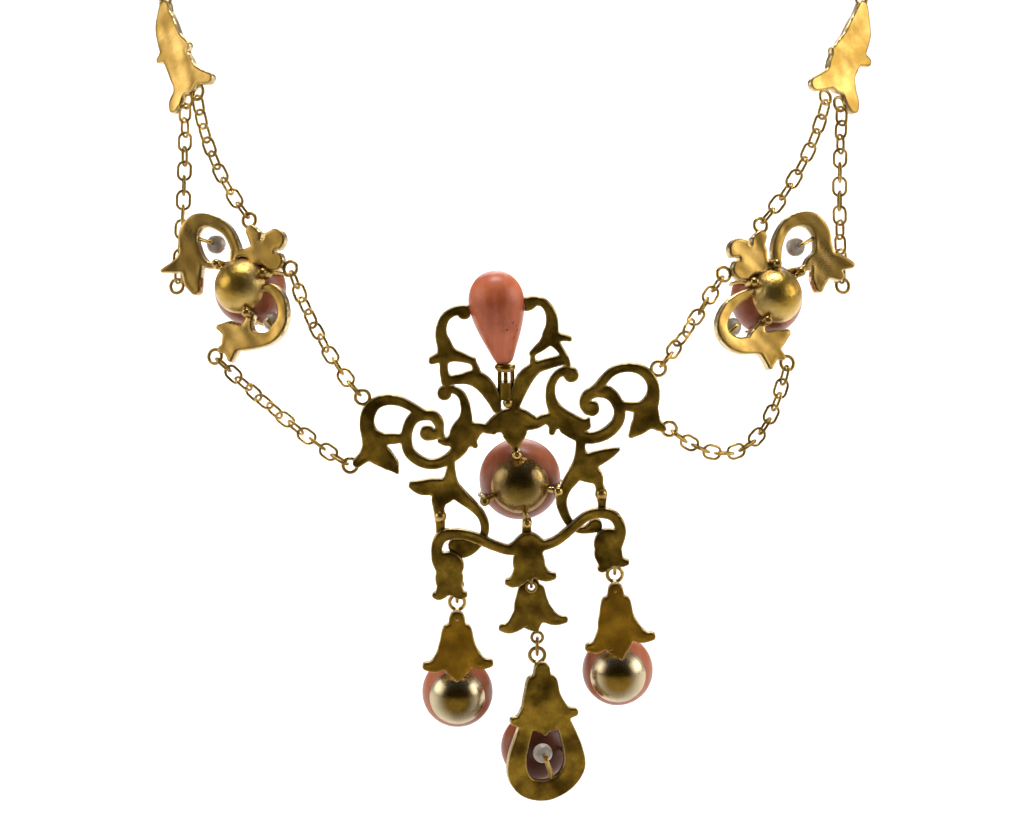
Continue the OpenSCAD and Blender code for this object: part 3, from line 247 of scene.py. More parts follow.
# %% Bell flowers
def bell(x, z, neck, waist, left, right, tongue):
    """Strokes of a bell whose neck is at x, z; the lips and the tongue are given from there."""
    fall = tongue[1]
    rows = [[[0, 0, neck], [0, -0.12 * waist, 0.8 * waist], [0, 0.45 * fall, waist]]]
    rows += [[[0.15 * a, 0.3 * fall, 0.5 * waist], [0.36 * a, 0.74 * b, 0.56 * waist],
              [0.7 * a, 0.97 * b, 0.36 * waist], [a, 0.98 * b, 0.22 * waist]] for a, b in (left, right)]
    rows += [[[0, 0.45 * fall, waist], [0.3 * tongue[0], 0.8 * fall, 0.76 * waist], [tongue[0], fall, 0.6]]]
    return [[[x + r[0], z + r[1], r[2]] for r in stroke] for stroke in rows]


YOKE_STROKES += bell(-7.9, -20, 3.6, 3.4, (-1.8, -3.9), (1.95, -3.8), (0.7, -3.5))
YOKE_STROKES += bell(12.1, -17, 3.6, 3.4, (2.3, -2.6), (-1, -3.4), (0.2, -3))
YOKE_STROKES += bell(2.1, -17.6, 3.8, 3.9, (-2.6, -4.6), (3.1, -3.8), (0.2, -4.1))
DROP_NECK = [[[0, -1.5, 2], [0, -2.4, 2.1]]]
LEFT_CAP = DROP_NECK + bell(0, -2.2, 2, 4.6, (-3.9, -5.6), (4.1, -5.2), (0, -7.2))
RIGHT_CAP = DROP_NECK + bell(0, -2.2, 2, 4.6, (-3.6, -6.7), (4.4, -5.5), (0.5, -8))
MID_CAP = PEAR_STROKES + bell(0, -2.2, 2, 4.8, (-3.6, -6), (4.2, -5.2), (0.4, -7.6))
LINK_BELL = bell(0, -0.9, 2, 4.2, (-3.7, -5.8), (4.2, -4.7), (0.7, -6))
print("strokes in the centre piece:", len(CENTRE_STROKES) + len(YOKE_STROKES))

# %% [markdown]
# ## From strokes to a metal sheet
#
# A plate is sawn or cast, filed, and soldered where scrolls touch. Strokes swept as bars and joined with
# booleans would leave hard creases there. So distances are joined, and where two are nearly equal, a soft
# minimum fills the corner as solder does. A smooth curve through the rows gives the scrolls their bend.

# %% Smooth rows and soldered corners
SOLDER = 0.3


def smooth_rows(rows, steps=5):
    """Catmull-Rom curve through the rows: each point is a cubic blend of its four neighbours."""
    p = np.array(rows, float)
    q = np.vstack([p[:1], p, p[-1:]])
    t = (np.arange(steps) / steps)[None, :, None]
    a, b, c, d = (q[i:len(q) - 3 + i, None, :] for i in range(4))
    curve = 0.5 * (2 * b + (c - a) * t + (2 * a - 5 * b + 4 * c - d) * t**2
                   + (3 * b - a - 3 * c + d) * t**3)
    return np.vstack([curve.reshape(-1, p.shape[1]), p[-1:]])


def soft_min(a, b, reach):
    """The smaller of two distances, less a quarter of reach where they are equal: a rounded corner."""
    h = np.maximum(reach - np.abs(a - b), 0) / reach
    return np.minimum(a, b) - h * h * reach / 4


print("solder fills a corner by", -soft_min(0.0, 0.0, SOLDER), "mm")

# %% [markdown]
# The field holds, for each point of a grid, how far it is from the nearest rim: below zero is metal. A stroke
# could be a row of discs, but it would need hundreds to be smooth. A tapered bar between two rows is exact,
# so discs only fill the bends. A slit is a stroke that takes metal away.

# %% The distance field of a table of strokes
def stroke_field(x, z, strokes, slits=()):
    """Distance to the rim of the joined strokes, below zero in the metal.

    Each piece of a stroke is a tapered bar: inside its length the distance is |across| less half the width
    there, and beyond its length it is the way to the bar's end. Discs fill the bends; a disc may exceed its
    neighbours by no more than 0.4 of the way to them.
    """
    field = np.full(x.shape, 4.0)
    for rows, cut in [(r, False) for r in strokes] + [(r, True) for r in slits]:
        path = smooth_rows(rows)
        reach = path[:, 2].max() / 2 + 1.2
        inside = ((x[:, 0] > path[:, 0].min() - reach) & (x[:, 0] < path[:, 0].max() + reach),
                  (z[0] > path[:, 1].min() - reach) & (z[0] < path[:, 1].max() + reach))
        here = np.ix_(*inside)
        spot = np.stack([x[here], z[here]], -1)[..., None, :]
        a, b = path[:-1], path[1:]
        along = b[:, :2] - a[:, :2]
        length = np.linalg.norm(along, axis=1)
        run = ((spot - a[:, :2]) * along).sum(-1) / length
        side = spot - a[:, :2]
        across = np.abs(side[..., 0] * along[:, 1] - side[..., 1] * along[:, 0]) / length
        half = (a[:, 2] + np.clip(run / length, 0, 1) * (b[:, 2] - a[:, 2])) / 2
        over, past = across - half, np.maximum(-run, run - length)
        bar = np.where(past > 0, np.hypot(np.maximum(over, 0), past), over)
        at = np.concatenate([[0], np.cumsum(length)])
        disc = (path[:, 2] / 2 + 0.4 * np.abs(at[:, None] - at)).min(1)
        disc[[0, -1]] = path[[0, -1], 2] / 2
        bend = np.linalg.norm(spot - path[:, :2], axis=-1) - disc
        rim = np.minimum(bar.min(-1), bend.min(-1))
        field[here] = np.maximum(field[here], -rim) if cut else soft_min(field[here], rim, SOLDER)
    return field


BAR = [[[-1, 0, 2], [1, 0, 2]]]
print("the middle of a 2 mm bar lies", -stroke_field(*np.zeros((2, 1, 1)), BAR).item(), "mm from its rim")

# %% [markdown]
# The back is nearly flat, with the slow ripple that a file leaves, and the front rises in relief behind a
# groove. Both could be sculpted. As two surfaces over the field, y as a function of x and z, they give every
# scroll the same rim, groove and crown, however it bends. A wall along the rim joins them.

# %% The sheet over that field
STEP = 0.15
RIM_WORN = 0.24
GROOVE_AT, GROOVE_DEEP, GROOVE_WIDE = 0.35, 0.1, 0.1
CROWN_FROM, CROWN_OVER, CROWN_WORN = 0.42, 0.4, 0.9


def shell(points, faces, edge=0.0, finish=0):
    """One closed surface: its points, its four-cornered faces, its edge share (worn rims, painted reflection
    and shade) and its finish.
    """
    points = np.asarray(points, float)
    worn = np.broadcast_to(edge, len(points)).astype(float)
    return {"points": points, "faces": np.asarray(faces, int), "edge": worn, "finish": finish}


def plate_sheet(strokes, slits=(), back=0.0, thick=1.2, relief=0.45, round_by=0.18, bow=0.0):
    """A closed sheet over the strokes; s is how far a point lies in from the rim.

    Back: y = back plus a ripple. Front: y rises from the rim by relief times 1-(1-s)^2. Both dip at the rim,
    within round_by. A bow bends the whole sheet by bow times x^2+z^2. The rims and the crown of the relief
    carry the worn edge; the groove between them stays dark.
    """
    ends = np.vstack([np.array(r, float) for r in strokes])
    pad = ends[:, 2].max() / 2 + 0.6
    xs = np.arange(ends[:, 0].min() - pad, ends[:, 0].max() + pad, STEP)
    zs = np.arange(ends[:, 1].min() - pad, ends[:, 1].max() + pad, STEP)
    x, z = np.meshgrid(xs, zs, indexing="ij")
    field = stroke_field(x, z, strokes, slits)
    keep = field[:-1, :-1] + field[1:, :-1] + field[:-1, 1:] + field[1:, 1:] < 0
    number = np.arange(x.size).reshape(x.shape)
    cells = np.stack([number[:-1, :-1], number[1:, :-1], number[1:, 1:], number[:-1, 1:]], -1)[keep]
    edges = np.stack([cells, np.roll(cells, -1, 1)], -1).reshape(-1, 2)
    _, first, count = np.unique(np.sort(edges, 1), axis=0, return_index=True, return_counts=True)
    rim_edges = edges[first[count == 1]]
    slope_x, slope_z = np.gradient(field, STEP)
    steep = np.maximum(slope_x**2 + slope_z**2, 0.25)
    on_rim = np.unique(rim_edges)
    px, pz, s = x.ravel().copy(), z.ravel().copy(), np.maximum(-field.ravel(), 0)
    shift = np.clip(field.ravel()[on_rim], -STEP, STEP) / steep.ravel()[on_rim]
    px[on_rim] -= shift * slope_x.ravel()[on_rim]
    pz[on_rim] -= shift * slope_z.ravel()[on_rim]
    s[on_rim] = 0
    dip = 0.7 * round_by * (1 - np.minimum(s / round_by, 1))**2
    ripple = 0.02 * (np.sin(1.3 * px + 0.7 * pz) + np.sin(0.6 * px - 1.7 * pz + 2)
                     + 0.7 * np.sin(2.3 * px + 1.9 * pz) + 2.0 * np.sin(0.8 * px + 0.5 * pz + 1))
    back = back + bow * (px**2 + pz**2)
    low = back + dip + ripple * np.minimum(s / 0.6, 1)
    groove = GROOVE_DEEP * np.exp(-((s - GROOVE_AT) / GROOVE_WIDE)**2)
    high = back + thick + relief * (1 - (1 - np.minimum(s, 1))**2) - groove - dip
    used = np.unique(cells)
    order = np.full(x.size, -1)
    order[used] = np.arange(len(used))
    n = len(used)
    back_points = np.stack([px, low, pz], -1)[used]
    front_points = np.stack([px, high, pz], -1)[used]
    flat = order[cells]
    wall = order[rim_edges]
    walls = np.stack([wall[:, 0], wall[:, 1], wall[:, 1] + n, wall[:, 0] + n], -1)
    faces = np.vstack([flat, flat[:, ::-1] + n, walls])
    edge = np.clip(1 - s[used] / RIM_WORN, 0, 1)
    crown = np.maximum(edge, np.clip((s[used] - CROWN_FROM) / CROWN_OVER, 0, CROWN_WORN))
    return shell(np.vstack([back_points, front_points]), faces, np.concatenate([edge, crown]))


print("that bar as a sheet has", len(plate_sheet(BAR)["faces"]), "faces")

# %% [markdown]
# ## Turned and bent parts
#
# Cups, beads, posts and balls are turned on a lathe: a profile carried round an axis. Claws, rings and pegs
# are wire: a circle carried along a path. Ready-made spheres and curves would do for some, these two for
# all, and each is one grid of points, so one function gives the faces.

# %% Lathe and wire
CUP, CLAW = 1, 2  # a piece's second and third finish; its sheets take the first
WIRE_SIDES = 12


def grid_faces(rows, columns):
    """Faces between the points of a grid whose columns close into a ring."""
    i, j = np.meshgrid(np.arange(rows - 1), np.arange(columns), indexing="ij")
    k = (j + 1) % columns
    here, above = i * columns, (i + 1) * columns
    return np.stack([here + j, here + k, above + k, above + j], -1).reshape(-1, 4)


def lathe(profile, centre, axis, sides, finish=0):
    """Each profile row is a height along the axis and a radius; at angle a lies radius*(cos a, sin a)."""
    h, r = np.array(profile, float).T
    a = np.linspace(0, 2 * np.pi, sides, endpoint=False)
    u, w = r[:, None] * np.cos(a), r[:, None] * np.sin(a)
    up = np.broadcast_to(h[:, None], (len(h), sides))
    grid = {"y": (w, up, u), "z": (u, w, up)}[axis]
    points = np.stack(grid, -1).reshape(-1, 3) + centre
    return shell(points, grid_faces(len(h), sides), 0, finish)


def ball(centre, radius, sides=24, finish=0):
    """A sphere: the profile is minus cos t and sin t, from pole to pole."""
    t = np.linspace(0, np.pi, sides // 2 + 1)
    profile = np.stack([-radius * np.cos(t), radius * np.sin(t)], 1)
    return lathe(profile, centre, "z", sides, finish=finish)


def wire(path, radius, facing=(0, 1, 0.01), closed=False, finish=CLAW):
    """A circle carried along a path, square to it; an open path is smoothed and gets domed ends."""
    p = np.asarray(path, float) if closed else smooth_rows(path, 4)
    r = np.broadcast_to(radius, len(p)).astype(float)
    if not closed:
        start, stop = p[0] - p[1], p[-1] - p[-2]
        cap = np.array([1.0, 0.92, 0.7, 0.38])[:, None]
        p = np.vstack([p[0] + start / np.linalg.norm(start) * r[0] * cap, p,
                       p[-1] + stop / np.linalg.norm(stop) * r[-1] * cap[::-1]])
        thin = np.sqrt(1 - cap.ravel()**2)
        r = np.concatenate([r[0] * thin, r, r[-1] * thin[::-1]])
    ahead = np.roll(p, -1, 0) - np.roll(p, 1, 0) if closed else np.gradient(p, axis=0)
    ahead /= np.linalg.norm(ahead, axis=1)[:, None]
    side = np.cross(ahead, facing)
    side /= np.maximum(np.linalg.norm(side, axis=1), 1e-6)[:, None]
    other = np.cross(side, ahead)
    a = np.linspace(0, 2 * np.pi, WIRE_SIDES, endpoint=False)[None, :, None]
    points = p[:, None] + r[:, None, None] * (np.cos(a) * side[:, None] + np.sin(a) * other[:, None])
    faces = grid_faces(len(p) + closed, WIRE_SIDES) % (len(p) * WIRE_SIDES)
    return shell(points.reshape(-1, 3), faces, 0, finish)


def ring(centre, radius, thick):
    """A closed circle of wire round y."""
    a = np.linspace(0, 2 * np.pi, 36, endpoint=False)
    path = np.stack([radius * np.cos(a), 0 * a, radius * np.sin(a)], -1) + centre
    return wire(path, thick / 2, (0, 1, 0), True)


print("a lathe ball has", len(ball([0, 0, 0], 1)["faces"]), "faces")

# %% [markdown]
# ## Putting shells into a piece
#
# Shells are turned and moved while they are still in the piece's flat drawing. Where a bead comes close, the
# goldsmith presses the metal back. A boolean could cut it away, but pressing keeps the sheet whole.

# %% Placed and pressed shells
def placed(shells, where, turn_about_z=0, roll=0):
    """The same shells turned about z or y, then moved by where, in the piece's own frame."""
    a, b = np.radians([turn_about_z, roll])
    about_z = np.array([[np.cos(a), -np.sin(a), 0], [np.sin(a), np.cos(a), 0], [0, 0, 1]])
    about_y = np.array([[np.cos(b), 0, np.sin(b)], [0, 1, 0], [-np.sin(b), 0, np.cos(b)]])
    return [dict(s, points=s["points"] @ (about_z @ about_y).T + where) for s in shells]


def hollowed(shells, bead, radius):
    """Presses metal back from a bead: y stays below the bead's y minus sqrt(radius^2 - d^2)."""
    made = []
    for s in shells:
        p = s["points"].copy()
        d2 = (p[:, 0] - bead[0])**2 + (p[:, 2] - bead[2])**2
        limit = bead[1] - np.sqrt(np.maximum(radius**2 - d2, 0))
        p[:, 1] = np.where(d2 < radius**2, np.minimum(p[:, 1], limit), p[:, 1])
        made.append(dict(s, points=p))
    return made


pressed = hollowed([ball([0, 0, 0], 1)], (0, 1.5, 0), 1)[0]["points"]
print("a pressed ball reaches", round(pressed[:, 1].max(), 2), "mm towards a bead 1.5 mm off")

# %% [markdown]
# A soldered piece is one object made of several closed shells. Each could be an object, but the real piece
# moves as one. Every shell brings its finish and its share of edge: worn rims where the gold goes bright,
# painted reflection on the cups, and painted shade on one bead's back.

# %% One object from shells
FINISHES = {}


def piece(name, shells, seat_at, body, nodes, finishes):
    """Joins the shells, puts them on their seat in metres, and lets them replace CAD nodes on a body."""
    start = np.cumsum([0] + [len(s["points"]) for s in shells])
    points = np.vstack([s["points"] for s in shells]) @ seat_at[1].T + seat_at[0]
    faces = np.vstack([s["faces"] + k for s, k in zip(shells, start)])
    mesh = bpy.data.meshes.new(name)
    mesh.vertices.add(len(points))
    mesh.vertices.foreach_set("co", (points * MM).ravel())
    mesh.loops.add(faces.size)
    mesh.loops.foreach_set("vertex_index", faces.ravel())
    mesh.polygons.add(len(faces))
    mesh.polygons.foreach_set("loop_start", np.arange(0, faces.size, 4))
    own_finish = np.concatenate([np.full(len(s["faces"]), s["finish"]) for s in shells])
    mesh.polygons.foreach_set("material_index", own_finish)
    mesh.update(calc_edges=True)
    # Edge share: worn rims on the sheets, painted reflection on the cups, painted shade on the button's back
    worn = mesh.attributes.new("edge", "FLOAT", "POINT")
    worn.data.foreach_set("value", np.concatenate([s["edge"] for s in shells]))
    work = bmesh.new()  # welds the poles of lathes and turns every face outwards
    work.from_mesh(mesh)
    bmesh.ops.remove_doubles(work, verts=work.verts, dist=1e-7)
    bmesh.ops.dissolve_degenerate(work, edges=work.edges, dist=1e-8)
    bmesh.ops.recalc_face_normals(work, faces=work.faces)
    work.to_mesh(mesh)
    work.free()
    mesh.shade_smooth()
    mesh.set_sharp_from_angle(angle=np.radians(50))
    for finish in finishes:
        mesh.materials.append(FINISHES[finish])
    made = bpy.data.objects.new(name, mesh)
    bpy.context.scene.collection.objects.link(made)
    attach(made, body)
    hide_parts(*nodes)
    print(name, "triangles:", sum(len(p.vertices) - 2 for p in mesh.polygons))


# %% [markdown]
# ## Finishes
#
# A finish is colour, roughness and small dents. It could be painted on an unwrapped surface, but a pattern
# in space has no seams on a pierced plate. So all patterns read the object's own coordinates, brought from
# metres to millimetres, and each scale is a real size.

# %% Small tools for node trees
def colour(code):
    """sRGB hex to linear: c becomes c/12.92 when small, and ((c+0.055)/1.055)^2.4 otherwise."""
    c = np.array([int(code[i:i + 2], 16) for i in (1, 3, 5)]) / 255
    return (*np.where(c <= 0.04045, c / 12.92, ((c + 0.055) / 1.055)**2.4), 1)


def feed(tree, fed, inputs):
    """Gives inputs, by name or in order, a value, or links a socket to them."""
    for key, value in (inputs.items() if isinstance(inputs, dict) else enumerate(inputs)):
        if isinstance(value, bpy.types.NodeSocket):
            tree.links.new(value, fed.inputs[key])
        else:
            fed.inputs[key].default_value = value


def node(tree, kind, output, inputs=(), **settings):
    """Adds a node with its settings, feeds its inputs and gives one of its outputs."""
    made = tree.nodes.new("ShaderNode" + kind)
    for key, value in settings.items():
        setattr(made, key, value)
    feed(tree, made, inputs)
    return made.outputs[output]


def new_finish(name):
    """An empty material with its shader, and the object's coordinates in millimetres."""
    made = bpy.data.materials.new(name)
    made.use_nodes = True
    tree = made.node_tree
    metres = node(tree, "TexCoord", "Object")
    spot = node(tree, "VectorMath", "Vector", {0: metres, "Scale": 1000.0}, operation="SCALE")
    FINISHES[name] = made
    return tree, tree.nodes["Principled BSDF"], spot


def stained(tree, ground, stains):
    """Colours over a ground: as a pattern goes from low to high, its colour's share goes from 0 to most."""
    for pattern, low, high, most, paint in stains:
        share = node(tree, "MapRange", "Result", [pattern, low, high, 0, most],
                     interpolation_type="SMOOTHSTEP")
        ground = node(tree, "Mix", 2, {0: share, 6: ground, 7: colour(paint)}, data_type="RGBA")
    return ground


def finished(tree, shader, ground, dents, plain):
    """Gives the shader its colour, its dents one over another, each a pattern and a depth, and its values."""
    bump = {}
    for height, deep_mm in dents:
        bump = {"Normal": node(tree, "Bump", "Normal", {"Height": height, "Strength": 1.0,
                                                        "Distance": deep_mm * MM, **bump})}
    feed(tree, shader, {"Base Color": ground, **bump, **plain})


print("gold's base colour in linear light:", np.round(colour("#b08d45")[:3], 3))

# %% [markdown]
# Fourteen karat gold, cast and filed, then worn for a century: the flats keep a brown film, thicker in
# patches, and every rim is rubbed bright. The film could be a coat over the metal. Mixed into the metal's
# colour it looks the same and needs one layer less. Its patches are 4 mm wide with clouds of 0.9 mm. The file
# marks are a noise squeezed along one direction, a hundredth of a millimetre deep, 1.2 mm long and less than
# 0.1 mm wide. The grain of the polish is drawn 0.12 mm wide, ten times too coarse, or it wouldn't show.

# %% Worn gold
def worn_gold(name, film, metal, bright, rough, marks_mm=0.010, dents_mm=0.0):
    """Metal under patches of brown film, bright where the edge attribute nears 1; dents are 1.3 mm wide."""
    tree, shader, spot = new_finish(name)
    patches, clouds, grain = (
        node(tree, "TexNoise", "Fac", {"Vector": spot, "Scale": 1 / mm, "Detail": detail, "Roughness": 0.55})
        for mm, detail in ((4.0, 4.0), (0.9, 3.0), (0.12, 2.0)))
    filed = node(tree, "Mapping", "Vector", {"Vector": spot, "Rotation": (0.3, 0.7, 0.4),
                                             "Scale": (1, 1, 14)})
    marks = node(tree, "TexNoise", "Fac", {"Vector": filed, "Scale": 1 / 1.2, "Detail": 2.0,
                                           "Roughness": 0.55})
    dents = [(marks, marks_mm), (grain, 0.004)]
    if dents_mm:
        hollows = node(tree, "TexNoise", "Fac", {"Vector": spot, "Scale": 1 / 1.3, "Detail": 2.0,
                                                 "Roughness": 0.55})
        dents.insert(0, (hollows, dents_mm))
    # Edge: worn rims on sheets; on cups it grows with the radius, a painted reflection
    edge = node(tree, "Attribute", "Fac", attribute_name="edge")
    ground = stained(tree, colour(film), [(patches, 0.30, 0.70, 1, metal), (clouds, 0.40, 0.72, 0.25, film),
                                          (edge, 0.35, 0.95, 0.55, bright)])
    smear, speckle = (
        node(tree, "MapRange", "Result", [pattern, 0.3, 0.7, low, high], interpolation_type="SMOOTHSTEP")
        for pattern, low, high in ((patches, rough + 0.10, rough - 0.04), (grain, -0.04, 0.06)))
    finished(tree, shader, ground, dents, {"Roughness": node(tree, "Math", "Value", [smear, speckle]),
                                           "Metallic": 1.0})


# Filed flats of the centre under a brown film: dark olive, a dull mirror, darkened past the other golds as
# painted shade
worn_gold("gold_filed_dark_painted_shade", "#3a280a", "#8d6e24", "#d6bb80", 0.30)
# The drops' filed caps under a brown film: an even mid brown, darkened as painted shade, though less than the
# centre
worn_gold("gold_filed_brown_painted_shade", "#624510", "#8c661a", "#d9bd80", 0.30)
# Stations and plates, filed and rubbed clean by the skin: warm yellow, little film
worn_gold("gold_filed_warm", "#9a7834", "#c29c56", "#ecd8ac", 0.30)
# The centre's cup, pressed over a punch and dented since: brown, with uneven lights; its dark ground is
# painted shade
worn_gold("dented_gold_painted_shade", "#35260d", "#6f5824", "#c4a56c", 0.26, 0.004, 0.10)
# The drops' cups, pressed and buffed: a dark mirror with a pale rim; the dark ground is painted shade, and
# the near-white rim is a painted reflection over some wear on the lip
worn_gold("pressed_gold_painted_shade", "#46330f", "#7d6022", "#f6e6c0", 0.22, 0.004)
# The stations' cups, beaten by hand: broad soft lights
worn_gold("gold_beaten", "#7d6122", "#b08c3c", "#dcc07c", 0.34, 0.004, 0.14)
# Claws, eyes, balls and pegs, burnished when the stones were set: small bright points
worn_gold("gold_burnished", "#8a6a2a", "#c9a964", "#f3e6c4", 0.24, 0.004)
# Drawn wire of the chains and rings, rubbed by its neighbours: an even yellow
worn_gold("gold_drawn", "#86682c", "#c4a258", "#ecdcb4", 0.26, 0.004)
print("gold finishes:", len(FINISHES))

# %% [markdown]
# Coral is a polished growth of lime: pink to brick, with faint growth lines, and here and there a group of
# open pores. It could be one plain colour with a shine, but that passes for plastic: light has to go a little
# way in, and growth has to show. The clouds are 5 mm wide, the specks 0.35 mm, and the pores lie 0.75 mm
# apart. The growth lines are drawn 1.4 mm apart, which is 2 pi / (20 * 0.22): coarser than the real ones, or
# they wouldn't show.

# %% Coral
def coral(name, deep, body, pale, pores_at=None):
    """Pink body with faint growth lines, painted shade in dark brown where edge is 1, and a patch of pores if
    asked for.
    """
    tree, shader, spot = new_finish(name)
    clouds, specks = (
        node(tree, "TexNoise", "Fac", {"Vector": spot, "Scale": 1 / mm, "Detail": detail, "Roughness": 0.55})
        for mm, detail in ((5.0, 4.0), (0.35, 2.0)))
    lines = node(tree, "TexWave", "Fac", {"Vector": spot, "Scale": 0.22, "Distortion": 3.5, "Detail": 3.0,
                                          "Detail Scale": 1.2}, bands_direction="X")
    ground = stained(tree, colour(deep), [(clouds, 0.32, 0.68, 1, body), (lines, 0.45, 1.0, 0.08, pale),
                                          (specks, 0.62, 0.75, 0.15, pale)])
    # Painted shade: dark brown where the edge attribute is 1, the back of a bead in the gold's shadow
    painted_shade_share = node(tree, "Attribute", "Fac", attribute_name="edge")
    ground = node(tree, "Mix", 2, {0: painted_shade_share, 6: ground, 7: colour("#3f1c0e")}, data_type="RGBA")
    dents = [(specks, 0.004)]
    if pores_at:
        cells = node(tree, "TexVoronoi", "Distance", {"Vector": spot, "Scale": 1 / 0.75})
        away = node(tree, "VectorMath", "Value", [spot, pores_at], operation="DISTANCE")
        pit, near = (
            node(tree, "MapRange", "Result", [pattern, none, full, 0, 1], interpolation_type="SMOOTHSTEP")
            for pattern, none, full in ((cells, 0.34, 0.16), (away, 2.3, 1.2)))
        hole = node(tree, "Math", "Value", [pit, near], operation="MULTIPLY")
        ground = node(tree, "Mix", 2, {0: hole, 6: ground, 7: colour("#4a241a")}, data_type="RGBA")
        dents.append((node(tree, "Math", "Value", [1.0, hole], operation="SUBTRACT"), 0.12))
    sheen = node(tree, "MapRange", "Result", [clouds, 0.3, 0.7, 0.34, 0.46], interpolation_type="SMOOTHSTEP")
    finished(tree, shader, ground, dents, {
        "Roughness": sheen, "IOR": 1.49, "Specular IOR Level": 0.3, "Coat Weight": 0.12,
        "Coat Roughness": 0.12, "Subsurface Weight": 0.12, "Subsurface Radius": (1.0, 0.4, 0.25),
        "Subsurface Scale": 0.0012})


# The bud: pale coral, cut and polished; orange pink, a soft sheen, pores near its right side
coral("coral_cut_pale", "#a84f2b", "#d27048", "#e0a284", pores_at=(0.6, -62.4, -32.0))
# The beads: darker coral, turned and polished; brick pink, darkened further as painted shade for the gold's
# shadow on them
coral("coral_turned_painted_shade", "#8c492c", "#ac5f3c", "#bc7e5a")
print("coral finishes:", sum(name.startswith("coral") for name in FINISHES))

# %% [markdown]
# Pearl is nacre, grown round a grain in thin layers. It could have its own shine of many colours, but these
# are small, old and grey. So it is a milky body with clouds 1.6 mm wide under a thin soft gloss; the grey is
# partly their own and partly painted shade, for the plates that shade them.

# %% Pearl
tree, shader, spot = new_finish("pearl_grown")
clouds = node(tree, "TexNoise", "Fac", {"Vector": spot, "Scale": 1 / 1.6, "Detail": 3.0, "Roughness": 0.55})
# The grey ground is partly the pearls' own grey and partly painted shade from the plates around them
milky = stained(tree, colour("#b3aaa0"), [(clouds, 0.35, 0.7, 1, "#d8d0c6")])
finished(tree, shader, milky, [(clouds, 0.01)], {
    "Roughness": 0.28, "IOR": 1.55, "Coat Weight": 0.5, "Coat Roughness": 0.15, "Subsurface Weight": 0.2,
    "Subsurface Scale": 0.0008})
print("all finishes:", sorted(FINISHES))

# %% [markdown]
# ## Cups, claws, lugs and pegs
#
# These repeat on every gold piece. A cup is a thin dome behind its bead. A claw has a domed pad with a
# drilled dimple, and its prong bends round the bead to the front. One of each could be copied, but sizes
# differ from bead to bead, so each fitting is a function of its sizes.

# %% Fittings
BEAD_GAP = 0.1
PRONG = 0.55


def cup_shell(rim_r, bulge, bead_r, centre):
    """Outside a sphere's cap of the given bulge, then a rolled lip; inside the bead's sphere plus its gap.

    Edge share grows with the radius: a painted reflection, dark in the crown and pale out to the worn lip.
    """
    dome_r = (rim_r**2 + bulge**2) / (2 * bulge)
    edge = np.arcsin(rim_r / dome_r) if bulge <= dome_r else np.pi - np.arcsin(rim_r / dome_r)
    t = np.linspace(0, edge, 22)
    outside = np.stack([dome_r - bulge - dome_r * np.cos(t), dome_r * np.sin(t)], 1)
    bead_y = np.sqrt(bead_r**2 - rim_r**2)
    r = np.linspace(rim_r - 0.12, 0, 16)
    inside = np.stack([bead_y - np.sqrt((bead_r + BEAD_GAP)**2 - r**2), r], 1)
    lip = [[0.07, rim_r + 0.04], [0.12, rim_r - 0.02], [0.07, rim_r - 0.09]]
    profile = np.vstack([outside, lip, inside])
    cup = lathe(profile, centre, "y", 64, finish=CUP)
    # Edge share from the axis to the rim: the crown stays dark and the outside goes pale, a painted
    # reflection
    return dict(cup, edge=np.repeat(profile[:, 1] / rim_r, 64).clip(0, 1))


def claw_shells(angle, out, rim_r, rim_y, bead_r, bead_y, centre):
    """A pad turned on y at distance out, its neck to the cup, and a prong on an arc round the bead."""
    pad = lathe([[0.9, 0], [0.9, 0.6], [-0.4, 0.64], [-0.75, 0.62], [-1.0, 0.52], [-1.17, 0.34],
                 [-1.2, 0.2], [-1.08, 0.13], [-0.95, 0]], [out, 0, 0], "y", 24, finish=CLAW)
    neck_y = rim_y - 0.6
    neck = wire([[rim_r + 0.1, neck_y, 0], [(rim_r + out) / 2, neck_y, 0], [out, neck_y, 0]], 0.38,
                facing=(0, 0, 1))
    pad, neck = hollowed([pad, neck], (0, bead_y, 0), bead_r + BEAD_GAP)
    a = np.radians(np.linspace(-50, 15, 9))
    arm_r = bead_r + BEAD_GAP + PRONG / 2
    arm = np.stack([arm_r * np.cos(a), bead_y + arm_r * np.sin(a), 0 * a], 1)
    prong = wire(arm, np.linspace(1, 0.8, 33) * PRONG / 2, facing=(0, 0, 1))
    return placed([pad, neck, prong], centre, roll=-angle)


def chain_eye(x, z, y=0.6):
    """The eye at a plate's rim that a chain's first link goes through."""
    return ring([x, y, z], 0.9, 0.45)


def lug_shells(pivot, foot_z):
    """A small eye above the pivot, and the post that carries it from the plate."""
    x, y, z = pivot
    return [ring(pivot + [0, 0, EYE_FALL], 0.7, 0.4),
            wire([[x, 0.1, foot_z], [x, 0.6 * y, foot_z - 0.2], [x, y, z + 1.85]], 0.3, facing=(1, 0, 0))]


def peg_shell(foot, pearl):
    """Wire from the plate to the back of the pearl, bent sharply into the pearl's hole."""
    (foot_x, foot_z), (x, _, z) = foot, pearl
    return wire([[foot_x, 0.25, foot_z], [(foot_x + x) / 2, 0.1, (foot_z + z) / 2], [x, -0.05, z],
                 [x, 0.7, z], [x, 2.3, z]], 0.25, facing=(0.3, 0.2, 1))


print("a peg has", len(peg_shell((0, 0), (2, 1.7, 0))["faces"]), "faces")

# %% [markdown]
# ## The centre piece
#
# Two layers soldered together: the scrollwork, and the yoke with three bell flowers behind it. The cup holds
# the largest bead by four claws, and a short collar on three posts carries the bud. The layers could be one
# sheet, but the step between them shows, so the yoke is a sheet of its own, 0.9 mm further back.

